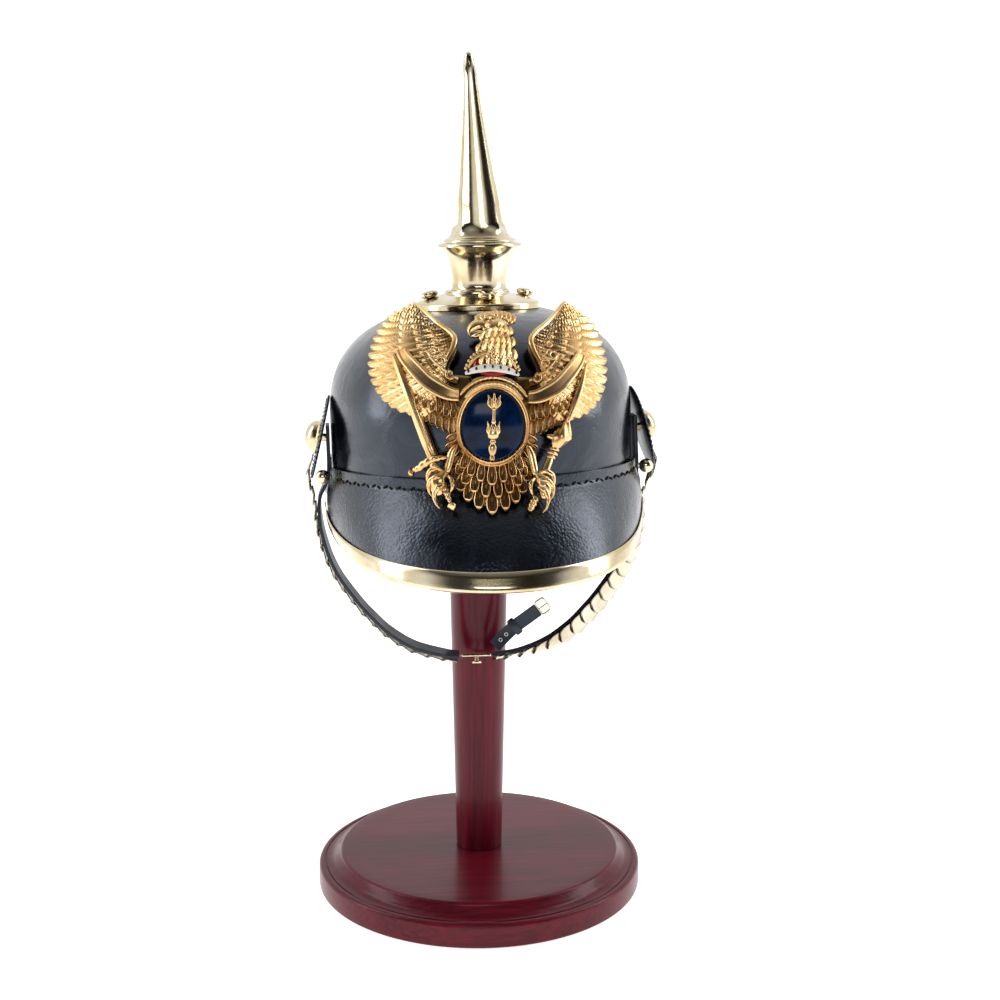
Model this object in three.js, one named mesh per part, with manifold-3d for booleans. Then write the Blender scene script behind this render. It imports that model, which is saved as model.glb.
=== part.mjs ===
// Spiked leather parade helmet on a turned wooden stand.
// Millimetres, +Z up, the helmet's front looks towards -Y, origin under the middle of the base.

import * as THREE from 'three';
import { mergeVertices } from 'three/addons/utils/BufferGeometryUtils.js';
import Module from 'manifold-3d';

const wasm = await Module();
wasm.setup();

// Clearances
const seatGap = 0.3;
const boreGap = 0.35;

// Stand
const baseRadius = 100;
const baseRimHeight = 14.7;
const baseTopRadius = 86.1;
const baseHeight = 21.5;
const baseEdgeRound = 1.6;
const postFootRadius = 14.1;
const postNeckRadius = 20;
const postHeadRadius = 42;
const postHeadEdge = 9;
const postHeadUnder = 14;
const postHeadRound = 110;

// Helmet shell
const shellHalfWidth = 89;
const shellFront = 105;
const shellBack = 108;
const shellWall = 2.5;
const shellRimZ = 258;
const shoulderZ = 294;
const domeHeight = 64;
const domePower = 2.5;
const helmetRoll = 1.1;

// Visors, their lap on the shell and the brass edge
const seamZ = 266;
const seamDip = 4;
const lapHeight = 5.8;
const lapGap = 0.6;
const lapThickness = 2;
const visorThickness = 2.4;
const visorBulge = 0.07;
const frontEdgeOut = 39;
const frontEdgeDrop = 46;
const frontEdgeOutSide = 5.5;
const frontEdgeDropSide = 15;
const frontOutPower = 2.4;
const frontDropPower = 0.26;
const frontSweep = 77;
const rearEdgeOut = 30;
const rearEdgeDrop = 50;
const rearEdgeOutSide = 5;
const rearEdgeDropSide = 12;
const rearSweepStart = 97;
const trimBrass = 0.9;
const trimGap = 0.45;
const trimReachFront = 9.5;
const trimReachSide = 5;
const trimReachInside = 4;
const rivetSweep = 73.4;
const rivetRadius = 4.2;
const rivetShank = 1.6;
const rivetShankLength = 2.2;
const rivetDrop = 2.5;
const rivetGap = 0.35;

// Spike and its plate
const plateRadius = 36.5;
const plateRimHeight = 4.6;
const plateCrownHeight = 6.5;
const plateNeckStep = 2.2;
const studRadius = 5;
const studHeight = 3.6;
const studCircle = 28.5;
const studTurn = 6;
const studStand = 1.1;
const studFoot = 0.6;
const neckRadius = 15.6;
const neckHeight = 28;
const collarRadius = 24.3;
const collarThickness = 1.6;
const spikeFootRadius = 17;
const spikeHeight = 107.4;
const neckAside = 0.9;
const neckLean = 2.1;
const spikeLean = 2.25;
const fluteCount = 8;
const fluteDepth = 0.17;
const fluteSteps = 3;

// Eagle plate, drawn flat round the middle of its shield and laid on the front of the shell
const eagleTilt = 3.4;
const shieldAside = -2.5;
const shieldRise = 33;
const plateStand = 1.1;
const tailBendZ = 290;
const tailBend = 0.076;
const wingLift = 5;
const shieldHalfWidth = 15.9;
const shieldHalfHeight = 19;
const shieldRimWidth = 2.3;
const shieldRimRise = 1.9;
const shieldBed = 2.4;
const enamelGap = 0.45;
const enamelThickness = 1;
const sceptreRise = 1.2;
const scrollRise = 4.4;
const enamelShare = 0.98;
const bedBorder = 0.05;

// Side fittings
const cockadeRadius = 25;
const cockadeThickness = 1.5;
const cockadeTeeth = 20;
const cockadeTooth = 0.9;
const cockadeTilt = 14;
const cockadeStand = 5.8;
const cockadeY = -12;
const cockadeZ = 284;
const bossRadius = 10.5;
const bossHeight = 8;
const bossShank = 2.4;

// Chin strap
const strapWidth = 14;
const strapThickness = 2;
const scaleWidth = 15;
const scalePitch = 9;
const scaleBrass = 0.8;
const scaleProud = 1;
const scaleSeat = 0.55;
const scaleWaist = 0.88;
const scaleSteps = 6;
const endGap = 0.9;
const tabTop = 7;
const tabClear = 0.2;
const tabDrop = 22;
const tabSpread = 0.6;
const strapTuck = 1.2;
const buckleLength = 17;
const buckleBreadth = 14;
const buckleWire = 1.4;
const buckleAside = -4;
const buckleY = -26.9;
const buckleZ = 151.4;
const buckleTurn = 16;
const buckleStudRadius = 2.9;
const buckleStudReach = 5;
const tailWidth = 8;
const tailThickness = 1.8;
const keeperLength = 4;
const keeperThickness = 1.2;
const tailBuckleLength = 6.5;

const deg = Math.PI / 180;
const weld = 1e-4;
const plateFootZ = shoulderZ + domeHeight * domeShare(plateRadius / shellHalfWidth);
const plateTopZ = plateFootZ + plateRimHeight;
const neckFootZ = plateTopZ + plateCrownHeight;
const shieldRimShare = 1 + shieldRimWidth / shieldHalfWidth;
const crownZ = shoulderZ + domeHeight;
const rollPivotZ = crownZ - shellWall;

// Builds one closed body from points and faces, welded, with its faces looking out.
function solid(points, faces) {
  const seen = new Map();
  const position = [];
  const slot = points.map((p) => {
    const key = [p.x, p.y, p.z].map((c) => Math.round(c / weld)).join(',');
    if (!seen.has(key)) {
      seen.set(key, position.length / 3);
      position.push(p.x, p.y, p.z);
    }
    return seen.get(key);
  });
  const index = [];
  faces.forEach((face) => {
    const [a, b, c] = face.map((i) => slot[i]);
    if (a !== b && b !== c && c !== a) index.push(a, b, c);
  });
  const geometry = new THREE.BufferGeometry();
  geometry.setAttribute('position', new THREE.Float32BufferAttribute(position, 3));
  geometry.setIndex(index);
  return faceOut(geometry);
}

// Turns a body inside out where its faces look inwards.
function faceOut(geometry) {
  const place = geometry.attributes.position;
  const index = geometry.index.array;
  const [a, b, c] = [new THREE.Vector3(), new THREE.Vector3(), new THREE.Vector3()];
  let volume = 0;
  for (let i = 0; i < index.length; i += 3) {
    a.fromBufferAttribute(place, index[i]);
    b.fromBufferAttribute(place, index[i + 1]);
    c.fromBufferAttribute(place, index[i + 2]);
    volume += a.dot(b.cross(c));
  }
  if (volume < 0) {
    for (let i = 0; i < index.length; i += 3) {
      [index[i], index[i + 1]] = [index[i + 1], index[i]];
    }
  }
  geometry.computeVertexNormals();
  return geometry;
}

// Triangles that close a ring of points, in the ring's own direction.
function lid(ring) {
  const normal = new THREE.Vector3();
  const middle = new THREE.Vector3();
  ring.forEach((p, i) => {
    const q = ring[(i + 1) % ring.length];
    normal.add(new THREE.Vector3().crossVectors(p, q));
    middle.add(p);
  });
  if (normal.length() < weld) return [];
  normal.normalize();
  middle.divideScalar(ring.length);
  const side = new THREE.Vector3().subVectors(ring[0], middle);
  side.addScaledVector(normal, -side.dot(normal)).normalize();
  const up = new THREE.Vector3().crossVectors(normal, side);
  const flat = ring.map((p) => {
    const d = new THREE.Vector3().subVectors(p, middle);
    return new THREE.Vector2(d.dot(side), d.dot(up));
  });
  return THREE.ShapeUtils.triangulateShape(flat, []).map(([i, j, k]) => {
    const turn = (flat[j].x - flat[i].x) * (flat[k].y - flat[i].y)
      - (flat[k].x - flat[i].x) * (flat[j].y - flat[i].y);
    return turn < 0 ? [i, k, j] : [i, j, k];
  });
}

// A body through rings of points. Open runs get a lid at each end, closed runs join up.
function skin(rings, closed = false) {
  const count = rings[0].length;
  const points = rings.flat();
  const faces = [];
  const bands = closed ? rings.length : rings.length - 1;
  for (let i = 0; i < bands; i += 1) {
    const near = i * count;
    const far = ((i + 1) % rings.length) * count;
    for (let j = 0; j < count; j += 1) {
      const k = (j + 1) % count;
      faces.push([near + j, near + k, far + k], [near + j, far + k, far + j]);
    }
  }
  if (!closed) {
    const last = (rings.length - 1) * count;
    lid(rings[0]).forEach(([a, b, c]) => faces.push([c, b, a]));
    lid(rings[rings.length - 1]).forEach(([a, b, c]) => faces.push([last + a, last + b, last + c]));
  }
  return solid(points, faces);
}

function pointsOf(place) {
  return Array.from({ length: place.count }, (_, i) => new THREE.Vector3().fromBufferAttribute(place, i));
}

// A turned body about Z from a profile of [radius, height] that starts and ends on the axis.
function turned(profile, sides) {
  const points = profile.map(([r, z]) => new THREE.Vector2(r, z));
  const lathe = new THREE.LatheGeometry(points, sides);
  lathe.rotateX(Math.PI / 2);
  lathe.deleteAttribute('normal');
  lathe.deleteAttribute('uv');
  const merged = mergeVertices(lathe, weld);
  const place = merged.attributes.position;
  const spots = pointsOf(place);
  const faces = [];
  for (let i = 0; i < merged.index.count; i += 3) {
    faces.push([0, 1, 2].map((k) => merged.index.array[i + k]));
  }
  return solid(spots, faces);
}

function toManifold(geometry) {
  return new wasm.Manifold(new wasm.Mesh({
    numProp: 3,
    vertProperties: new Float32Array(geometry.attributes.position.array),
    triVerts: new Uint32Array(geometry.index.array),
  }));
}

function fromManifold(body) {
  const mesh = body.getMesh();
  const geometry = new THREE.BufferGeometry();
  geometry.setAttribute('position', new THREE.Float32BufferAttribute(mesh.vertProperties, 3));
  geometry.setIndex(Array.from(mesh.triVerts));
  geometry.computeVertexNormals();
  return geometry;
}

function join(geometries) {
  const [first, ...rest] = geometries.map(toManifold);
  return fillHollows(fromManifold(rest.reduce((whole, piece) => whole.add(piece), first)));
}

// Fills the sealed pockets that crossing strips leave inside a casting: only the outer skin stays.
function fillHollows(geometry) {
  const place = geometry.attributes.position;
  const index = Array.from(geometry.index.array);
  const parent = Array.from({ length: place.count }, (_, i) => i);
  const find = (i) => {
    let at = i;
    while (parent[at] !== at) {
      parent[at] = parent[parent[at]];
      at = parent[at];
    }
    return at;
  };
  for (let i = 0; i < index.length; i += 3) {
    parent[find(index[i + 1])] = find(index[i]);
    parent[find(index[i + 2])] = find(index[i]);
  }
  const volumes = new Map();
  const [a, b, c] = [new THREE.Vector3(), new THREE.Vector3(), new THREE.Vector3()];
  for (let i = 0; i < index.length; i += 3) {
    a.fromBufferAttribute(place, index[i]);
    b.fromBufferAttribute(place, index[i + 1]);
    c.fromBufferAttribute(place, index[i + 2]);
    const whole = find(index[i]);
    volumes.set(whole, (volumes.get(whole) ?? 0) + a.dot(b.cross(c)));
  }
  const kept = [];
  for (let i = 0; i < index.length; i += 3) {
    if (volumes.get(find(index[i])) > 0) kept.push(index[i], index[i + 1], index[i + 2]);
  }
  const points = pointsOf(place);
  const faces = [];
  for (let i = 0; i < kept.length; i += 3) faces.push(kept.slice(i, i + 3));
  return solid(points, faces);
}

function cut(geometry, tools) {
  const left = tools.map(toManifold).reduce((whole, tool) => whole.subtract(tool), toManifold(geometry));
  return fromManifold(left);
}

function mix(a, b, share) {
  return a + (b - a) * share;
}

function smooth(share) {
  const t = Math.min(1, Math.max(0, share));
  return t * t * (3 - 2 * t);
}

// Materials
const finish = {
  brass: { color: 0xd8bd7e, roughness: 0.2, metalness: 1 },
  gilt: { color: 0xd9a441, roughness: 0.3, metalness: 1 },
  blackLeather: { color: 0x14161b, roughness: 0.32, metalness: 0 },
  strapLeather: { color: 0x111113, roughness: 0.5, metalness: 0 },
  blackLacquer: { color: 0x0c0c0e, roughness: 0.35, metalness: 0 },
  enamel: { color: 0x0a2a6b, roughness: 0.12, metalness: 0 },
  mahogany: { color: 0x5c0f1e, roughness: 0.25, metalness: 0 },
};

function piece(name, geometry, look) {
  const mesh = new THREE.Mesh(geometry, new THREE.MeshStandardMaterial(finish[look]));
  mesh.name = name;
  return mesh;
}

// Shell surface: shares of the full plan size up the dome, and the plan as two half ellipses
function domeShare(rise) {
  return Math.max(0, 1 - Math.min(1, rise) ** domePower) ** (1 / domePower);
}

function planPoint(sweep, z, share = 1, inset = 0) {
  const depth = Math.cos(sweep * deg) > 0 ? shellFront : shellBack;
  return new THREE.Vector3(
    (shellHalfWidth - inset) * share * Math.sin(sweep * deg),
    -(depth - inset) * share * Math.cos(sweep * deg),
    z,
  );
}

function planNormal(sweep) {
  const depth = Math.cos(sweep * deg) > 0 ? shellFront : shellBack;
  return new THREE.Vector3(
    Math.sin(sweep * deg) / shellHalfWidth,
    -Math.cos(sweep * deg) / depth,
    0,
  ).normalize();
}

function domeTop(x, y) {
  const depth = y < 0 ? shellFront : shellBack;
  const share = Math.hypot(x / shellHalfWidth, y / depth);
  return shoulderZ + domeHeight * domeShare(share);
}

function shellGeometry() {
  const sides = 36;
  const outerTurns = [0, 10, 20, 30, 41, 52, 64, 77, 90];
  const innerTurns = [90, 77, 60, 42, 24, 10, 0];
  const ring = (turn, inset) => {
    const share = Math.cos(turn * deg) ** (2 / domePower) * (turn === 90 ? 0 : 1);
    const z = shoulderZ + (domeHeight - inset) * Math.sin(turn * deg) ** (2 / domePower);
    return Array.from({ length: sides }, (_, i) => planPoint((i * 360) / sides, z, share, inset));
  };
  const rim = (inset) => Array.from({ length: sides }, (_, i) => (
    planPoint((i * 360) / sides, shellRimZ, 1, inset)));
  return skin([
    rim(0),
    ...outerTurns.map((turn) => ring(turn, 0)),
    ...innerTurns.map((turn) => ring(turn, shellWall)),
    rim(shellWall),
  ], true);
}

// Visor section at one sweep, as [outwards from the shell, height], with its edge's own frame. Its seam
// dips towards the sides.
function visorLine(out, drop, reach, share) {
  const seam = seamZ - seamDip * (1 - share);
  const start = new THREE.Vector2(lapGap + lapThickness, seam);
  const edge = new THREE.Vector2(out, seamZ - drop);
  const chord = edge.clone().sub(start);
  const knee = start.clone().addScaledVector(chord, 0.5);
  knee.add(new THREE.Vector2(-chord.y, chord.x).multiplyScalar(visorBulge * 2));
  const curve = new THREE.QuadraticBezierCurve(start, knee, edge);
  const straight = Math.max(0.3, 1 - (reach + 1) / curve.getLength());
  const shares = [0.3, 0.65].map((share) => share * straight);
  const line = [0, ...shares, straight, 1].map((share) => curve.getPoint(share));
  const last = line[line.length - 1].clone().sub(line[line.length - 2]).normalize();
  return { line, last, face: new THREE.Vector2(-last.y, last.x), seam };
}

function visorSection({ line, face, seam }) {
  const under = line.map((p, i) => {
    const next = line[Math.min(i + 1, line.length - 1)];
    const before = line[Math.max(i - 1, 0)];
    const run = next.clone().sub(before).normalize();
    const side = i >= line.length - 2 ? face : new THREE.Vector2(-run.y, run.x);
    const q = p.clone().addScaledVector(side, -visorThickness);
    return new THREE.Vector2(Math.max(lapGap, q.x), q.y);
  });
  return [
    new THREE.Vector2(lapGap + lapThickness, seam + lapHeight),
    ...line,
    ...under.reverse(),
    new THREE.Vector2(lapGap, seam + lapHeight),
  ];
}

function trimSection({ line, last, face }, reach) {
  const edge = line[line.length - 1];
  const at = (along, aside) => edge.clone().addScaledVector(last, along).addScaledVector(face, aside);
  const outer = trimGap + trimBrass;
  const below = visorThickness + trimGap;
  return [
    at(trimGap, trimGap),
    at(trimGap, -below),
    at(-trimReachInside, -below),
    at(-trimReachInside, -below - trimBrass),
    at(trimGap, -below - trimBrass),
    at(outer, -visorThickness),
    at(outer, 0),
    at(trimGap, outer),
    at(-reach, outer),
    at(-reach, trimGap),
  ];
}

function placeSection(section, sweep) {
  const foot = planPoint(sweep, 0);
  const normal = planNormal(sweep);
  return section.map((p) => foot.clone().addScaledVector(normal, p.x).setZ(p.y));
}

// The front visor's edge reaches out most in the middle, and drops almost straight down at its ends.
function frontVisorLine(sweep) {
  const share = Math.max(0, Math.cos((sweep / frontSweep) * 90 * deg));
  const reach = mix(trimReachSide, trimReachFront, share);
  const out = mix(frontEdgeOutSide, frontEdgeOut, share ** frontOutPower);
  const drop = mix(frontEdgeDropSide, frontEdgeDrop, share ** frontDropPower);
  return { ...visorLine(out, drop, reach, share), reach };
}

function rearVisorLine(sweep) {
  const share = Math.max(0, Math.cos(((180 - sweep) / (180 - rearSweepStart)) * 90 * deg));
  const out = mix(rearEdgeOutSide, rearEdgeOut, share);
  const drop = mix(rearEdgeDropSide, rearEdgeDrop, share ** 0.8);
  return visorLine(out, drop, trimReachSide, share);
}

function sweeps(from, to, steps) {
  return Array.from({ length: steps + 1 }, (_, i) => mix(from, to, i / steps));
}

// Stations of the front visor, closer together towards its ends, where the edge drops
function frontStations() {
  return sweeps(-90, 90, 22).map((turn) => frontSweep * Math.sin(turn * deg));
}

function frontVisorGeometry() {
  return skin(frontStations().map((sweep) => (
    placeSection(visorSection(frontVisorLine(sweep)), sweep))));
}

function frontTrimGeometry() {
  return skin(frontStations().map((sweep) => {
    const edge = frontVisorLine(sweep);
    return placeSection(trimSection(edge, edge.reach), sweep);
  }));
}

function rearVisorGeometry() {
  return skin(sweeps(rearSweepStart, 360 - rearSweepStart, 16).map((sweep) => (
    placeSection(visorSection(rearVisorLine(sweep)), sweep))));
}

// Ball-headed rivet that pins each end of the front visor
function addRivets(group) {
  const profile = [
    [0, 0],
    [rivetShank, 0],
    [rivetShank, rivetShankLength],
    [rivetRadius * 0.75, rivetShankLength + rivetRadius * 0.3],
    [rivetRadius, rivetShankLength + rivetRadius * 0.95],
    [rivetRadius * 0.72, rivetShankLength + rivetRadius * 1.65],
    [0, rivetShankLength + rivetRadius * 1.95],
  ];
  [['left', -1], ['right', 1]].forEach(([side, way]) => {
    const z = seamZ - rivetDrop;
    const sweep = way * rivetSweep;
    const { line } = frontVisorLine(sweep);
    const next = line.findIndex((p) => p.y < z - rivetShank);
    const [above, below] = [line[next - 1], line[next]];
    const seat = mix(above.x, below.x, (above.y - z + rivetShank) / (above.y - below.y)) + rivetGap;
    const rivet = piece(`visor_rivet_${side}`, turned(profile, 10), 'brass');
    const normal = planNormal(sweep);
    rivet.position.copy(planPoint(sweep, z).addScaledVector(normal, seat));
    rivet.quaternion.setFromUnitVectors(new THREE.Vector3(0, 0, 1), normal);
    group.add(rivet);
  });
}

// Stand
function addStand(group) {
  const step = baseRadius - baseTopRadius;
  const rise = baseHeight - baseRimHeight;
  const base = turned([
    [0, 0],
    [baseRadius - baseEdgeRound, 0],
    [baseRadius, baseEdgeRound],
    [baseRadius, baseRimHeight - baseEdgeRound],
    [baseRadius - baseEdgeRound, baseRimHeight],
    [baseRadius - step * 0.55, baseRimHeight + rise * 0.2],
    [baseTopRadius + step * 0.12, baseHeight - rise * 0.25],
    [baseTopRadius - baseEdgeRound, baseHeight],
    [0, baseHeight],
  ], 36);
  const headTop = rollPivotZ - seatGap;
  const headDrop = (r) => r ** 2 / (2 * postHeadRound);
  const headEdgeZ = headTop - headDrop(postHeadRadius);
  const post = turned([
    [0, baseHeight + seatGap],
    [postFootRadius, baseHeight + seatGap],
    [postNeckRadius, headEdgeZ - postHeadEdge - postHeadUnder],
    [postHeadRadius * 0.8, headEdgeZ - postHeadEdge - postHeadUnder * 0.25],
    [postHeadRadius, headEdgeZ - postHeadEdge],
    [postHeadRadius, headEdgeZ],
    [postHeadRadius * 0.66, headTop - headDrop(postHeadRadius * 0.66)],
    [postHeadRadius * 0.33, headTop - headDrop(postHeadRadius * 0.33)],
    [0, headTop],
  ], 22);
  group.add(piece('stand_base', base, 'mahogany'), piece('stand_post', post, 'mahogany'));
}

// Leans a turned piece aside, with its rings kept level with the plate
function leanAside(geometry, lean) {
  return geometry.applyMatrix4(new THREE.Matrix4().makeShear(0, 0, 0, 0, Math.tan(lean * deg), 0));
}

// Brass plate on the crown with the neck and collar soldered to it
function spikeBaseGeometry() {
  const sides = 20;
  const under = [0, 0.4, 0.72, 1].map((share) => share * plateRadius);
  const over = [
    [plateRadius, plateTopZ - 1],
    [plateRadius - 1, plateTopZ],
    [mix(plateRadius, neckRadius, 0.45), plateTopZ + plateCrownHeight * 0.45],
    [neckRadius + plateNeckStep, plateTopZ + plateCrownHeight * 0.72],
    [neckRadius + plateNeckStep, neckFootZ],
    [0, neckFootZ],
  ];
  const ring = (r, height) => Array.from({ length: sides }, (_, i) => {
    const turn = (i * 2 * Math.PI) / sides;
    const [x, y] = [r * Math.sin(turn), -r * Math.cos(turn)];
    return new THREE.Vector3(x, y, height ?? domeTop(x, y) + seatGap);
  });
  const plate = skin([...under.map((r) => ring(r)), ...over.map(([r, z]) => ring(r, z))]);
  const flare = collarRadius - neckRadius;
  const neck = turned([
    [0, 0],
    [neckRadius, 0],
    [neckRadius, neckHeight * 0.18],
    [neckRadius + flare * 0.16, neckHeight * 0.49],
    [neckRadius + flare * 0.32, neckHeight * 0.7],
    [neckRadius + flare * 0.79, neckHeight * 0.9],
    [collarRadius, neckHeight - collarThickness / 2],
    [collarRadius, neckHeight + collarThickness / 2],
    [collarRadius - collarThickness, neckHeight + collarThickness],
    [0, neckHeight + collarThickness],
  ], sides);
  leanAside(neck, neckLean);
  neck.translate(neckAside, 0, neckFootZ - plateNeckStep);
  return join([plate, neck]);
}

// Fluted spike, standing on the collar and leaning back over the plate
const spikeProfile = [
  { radius: 1.25, height: 0, flute: 0 },
  { radius: 1.22, height: 0.022, flute: 0 },
  { radius: 1.05, height: 0.045, flute: 0 },
  { radius: 1, height: 0.07, flute: 0 },
  { radius: 0.865, height: 0.121, flute: 0.7 },
  { radius: 0.776, height: 0.228, flute: 1 },
  { radius: 0.57, height: 0.438, flute: 1 },
  { radius: 0.382, height: 0.645, flute: 1 },
  { radius: 0.241, height: 0.853, flute: 0.7 },
  { radius: 0.174, height: 0.956, flute: 0.3 },
  { radius: 0.11, height: 0.985, flute: 0 },
  { radius: 0, height: 1, flute: 0 },
];

function spikeGeometry() {
  const sides = fluteCount * fluteSteps;
  const rings = spikeProfile.map((row) => Array.from({ length: sides }, (_, i) => {
    const turn = (i * 2 * Math.PI) / sides;
    const dip = (1 - Math.cos(turn * fluteCount)) / 2;
    const r = spikeFootRadius * row.radius * (1 - fluteDepth * row.flute * dip);
    return new THREE.Vector3(r * Math.sin(turn), -r * Math.cos(turn), row.height * spikeHeight);
  }));
  return skin([rings[0].map(() => new THREE.Vector3()), ...rings]);
}

function addSpike(group) {
  group.add(piece('spike_base', spikeBaseGeometry(), 'brass'));
  const profile = [
    [0, -studFoot],
    [studRadius * 0.8, -studFoot],
    [studRadius, 0.4],
    [studRadius * 0.86, studHeight * 0.55],
    [studRadius * 0.5, studHeight * 0.9],
    [0, studHeight],
  ];
  const share = (plateRadius - studCircle) / (plateRadius - neckRadius);
  const seat = plateTopZ + plateCrownHeight * share + studStand;
  const lean = Math.atan2(plateCrownHeight * 0.72, plateRadius - neckRadius);
  ['front', 'right', 'back', 'left'].forEach((side, i) => {
    const stud = piece(`spike_stud_${side}`, turned(profile, 8), 'brass');
    const turn = new THREE.Group();
    turn.rotation.z = (90 * i + studTurn) * deg;
    stud.position.set(0, -studCircle, seat);
    stud.rotation.x = lean;
    turn.add(stud);
    group.add(turn);
  });
  const rise = neckHeight + collarThickness + seatGap;
  const spike = piece('spike', leanAside(spikeGeometry(), -spikeLean), 'brass');
  spike.position.set(neckAside + rise * Math.tan(neckLean * deg), 0, neckFootZ - plateNeckStep + rise);
  group.add(spike);
}

// Front meridian of the shell by arc length from the seam, for laying the eagle on it
const meridianBelow = 40;
const meridian = [];
for (let z = seamZ - meridianBelow; z < shoulderZ; z += 2) {
  meridian.push({ out: shellFront, z });
}
for (let turn = 0; turn <= 88; turn += 1) {
  meridian.push({
    out: shellFront * Math.cos(turn * deg) ** (2 / domePower),
    z: shoulderZ + domeHeight * Math.sin(turn * deg) ** (2 / domePower),
  });
}
meridian.forEach((row, i) => {
  const before = meridian[Math.max(0, i - 1)];
  const step = Math.hypot(row.out - before.out, row.z - before.z);
  row.along = i === 0 ? -meridianBelow : before.along + step;
});

function onMeridian(along) {
  const i = Math.max(1, meridian.findIndex((row) => row.along > along));
  const [a, b] = [meridian[i - 1], meridian[i]];
  const share = (along - a.along) / (b.along - a.along);
  return { out: mix(a.out, b.out, share), z: mix(a.z, b.z, share) };
}

function carrier(x, along) {
  const { out, z } = onMeridian(along);
  const bend = tailBend * Math.max(0, tailBendZ - z) ** 1.5;
  const round = shellFront * (1 - Math.sqrt(Math.max(0, 1 - (x / shellHalfWidth) ** 2)));
  return new THREE.Vector3(x, -out - bend + round, z);
}

function onFront(x, along, lift) {
  const e = 0.5;
  const across = carrier(x + e, along).sub(carrier(x - e, along));
  const up = carrier(x, along + e).sub(carrier(x, along - e));
  const normal = across.cross(up).normalize();
  return carrier(x, along).addScaledVector(normal, lift);
}

// One point of the eagle from its flat drawing, round the middle of the shield
function eaglePoint(across, up, height) {
  const [c, s] = [Math.cos(eagleTilt * deg), Math.sin(eagleTilt * deg)];
  const tip = smooth((up - 25) / 50) * smooth((Math.abs(across) - 15) / 25);
  return onFront(
    shieldAside + across * c + up * s,
    shieldRise - across * s + up * c,
    plateStand + height + wingLift * tip,
  );
}

// Raised strip along a path of stations, flat at the back, with an edge height and a ridge height
function relief(stations, place) {
  return skin(stations.map((station, i) => {
    const next = stations[Math.min(i + 1, stations.length - 1)];
    const before = stations[Math.max(i - 1, 0)];
    const [dx, dy] = [next.x - before.x, next.y - before.y];
    const length = Math.hypot(dx, dy);
    const [nx, ny] = [dy / length, -dx / length];
    const at = (side, height) => place(station.x + nx * side, station.y + ny * side, height);
    const foot = station.foot ?? 0;
    return [
      at(-station.half, foot),
      at(-station.half, station.edge),
      at(0, station.ridge),
      at(station.half, station.edge),
      at(station.half, foot),
    ];
  }));
}

function pathPoint(list, share) {
  const curve = new THREE.SplineCurve(list.map(([x, y]) => new THREE.Vector2(x, y)));
  return curve.getPoint(share);
}

// Fan of feathers between two curves of the drawing, as [across, up]. Every feather has a ridge and a
// pointed tip, with a valley on each side. The rows lie over each other like tiles, the last one inmost.
function fan({ roots, tips, count, rows, arm }, flip) {
  const columns = count * 2 + 1;
  return skin(Array.from({ length: columns }, (_, i) => {
    const root = pathPoint(roots, i / (columns - 1));
    const tip = pathPoint(tips, i / (columns - 1));
    const spot = (share, height) => (
      eaglePoint(flip * mix(root.x, tip.x, share), mix(root.y, tip.y, share), height));
    const reach = (row, k) => row.reach - ((i + k) % 2 === 0 ? row.notch : 0);
    const top = (row, k) => ((i + k) % 2 === 0 ? row.low : row.high);
    const outer = reach(rows[0], 0);
    const over = rows.flatMap((row, k) => {
      const end = reach(row, k);
      const inner = k + 1 < rows.length ? reach(rows[k + 1], k + 1) : (arm?.share ?? 0);
      const crest = row.crest ? [spot(mix(end, inner, row.crest), top(row, k))] : [];
      return [spot(end, row.edge), ...crest, spot(inner, top(row, k) * 0.9)];
    });
    const ridge = arm ? [spot(arm.share * 0.6, arm.high), spot(0, arm.edge)] : [];
    return [spot(0, 0), spot(outer * 0.5, 0), spot(outer, 0), ...over, ...ridge];
  }));
}

const wing = {
  count: 12,
  roots: [
    [39.5, 77], [36.5, 68.5], [31, 59.5], [25, 53.8], [20.4, 50], [19, 45], [20.6, 38],
    [23, 31.5], [21.5, 27.5], [11.5, 26.5], [13.2, 21], [14.5, 18.5],
  ],
  tips: [
    [42, 80.5], [50.5, 69], [57, 57], [61.5, 45], [64.3, 33], [64, 22], [59.5, 12.5],
    [51.5, 6], [42, 3.5], [33, 0], [26, -3.5], [20.5, -5],
  ],
  rows: [
    { name: 'primaries', reach: 1, notch: 0.08, edge: 0.8, low: 0.9, high: 2, crest: 0.3 },
    { name: 'coverts', reach: 0.66, notch: 0.07, edge: 2.2, low: 1.8, high: 3 },
    { name: 'lesser coverts', reach: 0.36, notch: 0.05, edge: 3.1, low: 2.6, high: 3.5 },
  ],
  arm: { share: 0.12, high: 4.2, edge: 1.6 },
};

const tail = {
  count: 7,
  roots: [[-15.4, -12], [-12, -15.8], [-6.6, -19.2], [0, -20.6], [6.6, -19.2], [12, -15.8], [15.4, -12]],
  tips: [[-18.6, -27], [-15.5, -34.5], [-9.4, -40.4], [0, -43.2], [9.4, -40.4], [15.5, -34.5], [18.6, -27]],
  rows: [
    { name: 'long feathers', reach: 1, notch: 0.09, edge: 0.9, low: 0.9, high: 2.2, crest: 0.3 },
    { name: 'short feathers', reach: 0.5, notch: 0.1, edge: 2, low: 1.8, high: 2.5 },
  ],
};

const scroll = [
  { x: 16.4, y: 15.6, half: 2.4 }, { x: 24, y: 16.4, half: 3 }, { x: 32, y: 20, half: 3.2 },
  { x: 38, y: 26.5, half: 3 }, { x: 43, y: 32, half: 2.6 },
];

// Oval body of the shield, from a profile of [share of the half axes, height]
function ovalBody(profile, closed = false) {
  const sides = 18;
  return skin(profile.map(([share, height]) => Array.from({ length: sides }, (_, i) => {
    const turn = (i * 2 * Math.PI) / sides;
    const across = shieldHalfWidth * share * Math.cos(turn);
    const up = shieldHalfHeight * share * Math.sin(turn);
    return eaglePoint(across, up, height);
  })), closed);
}

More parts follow.
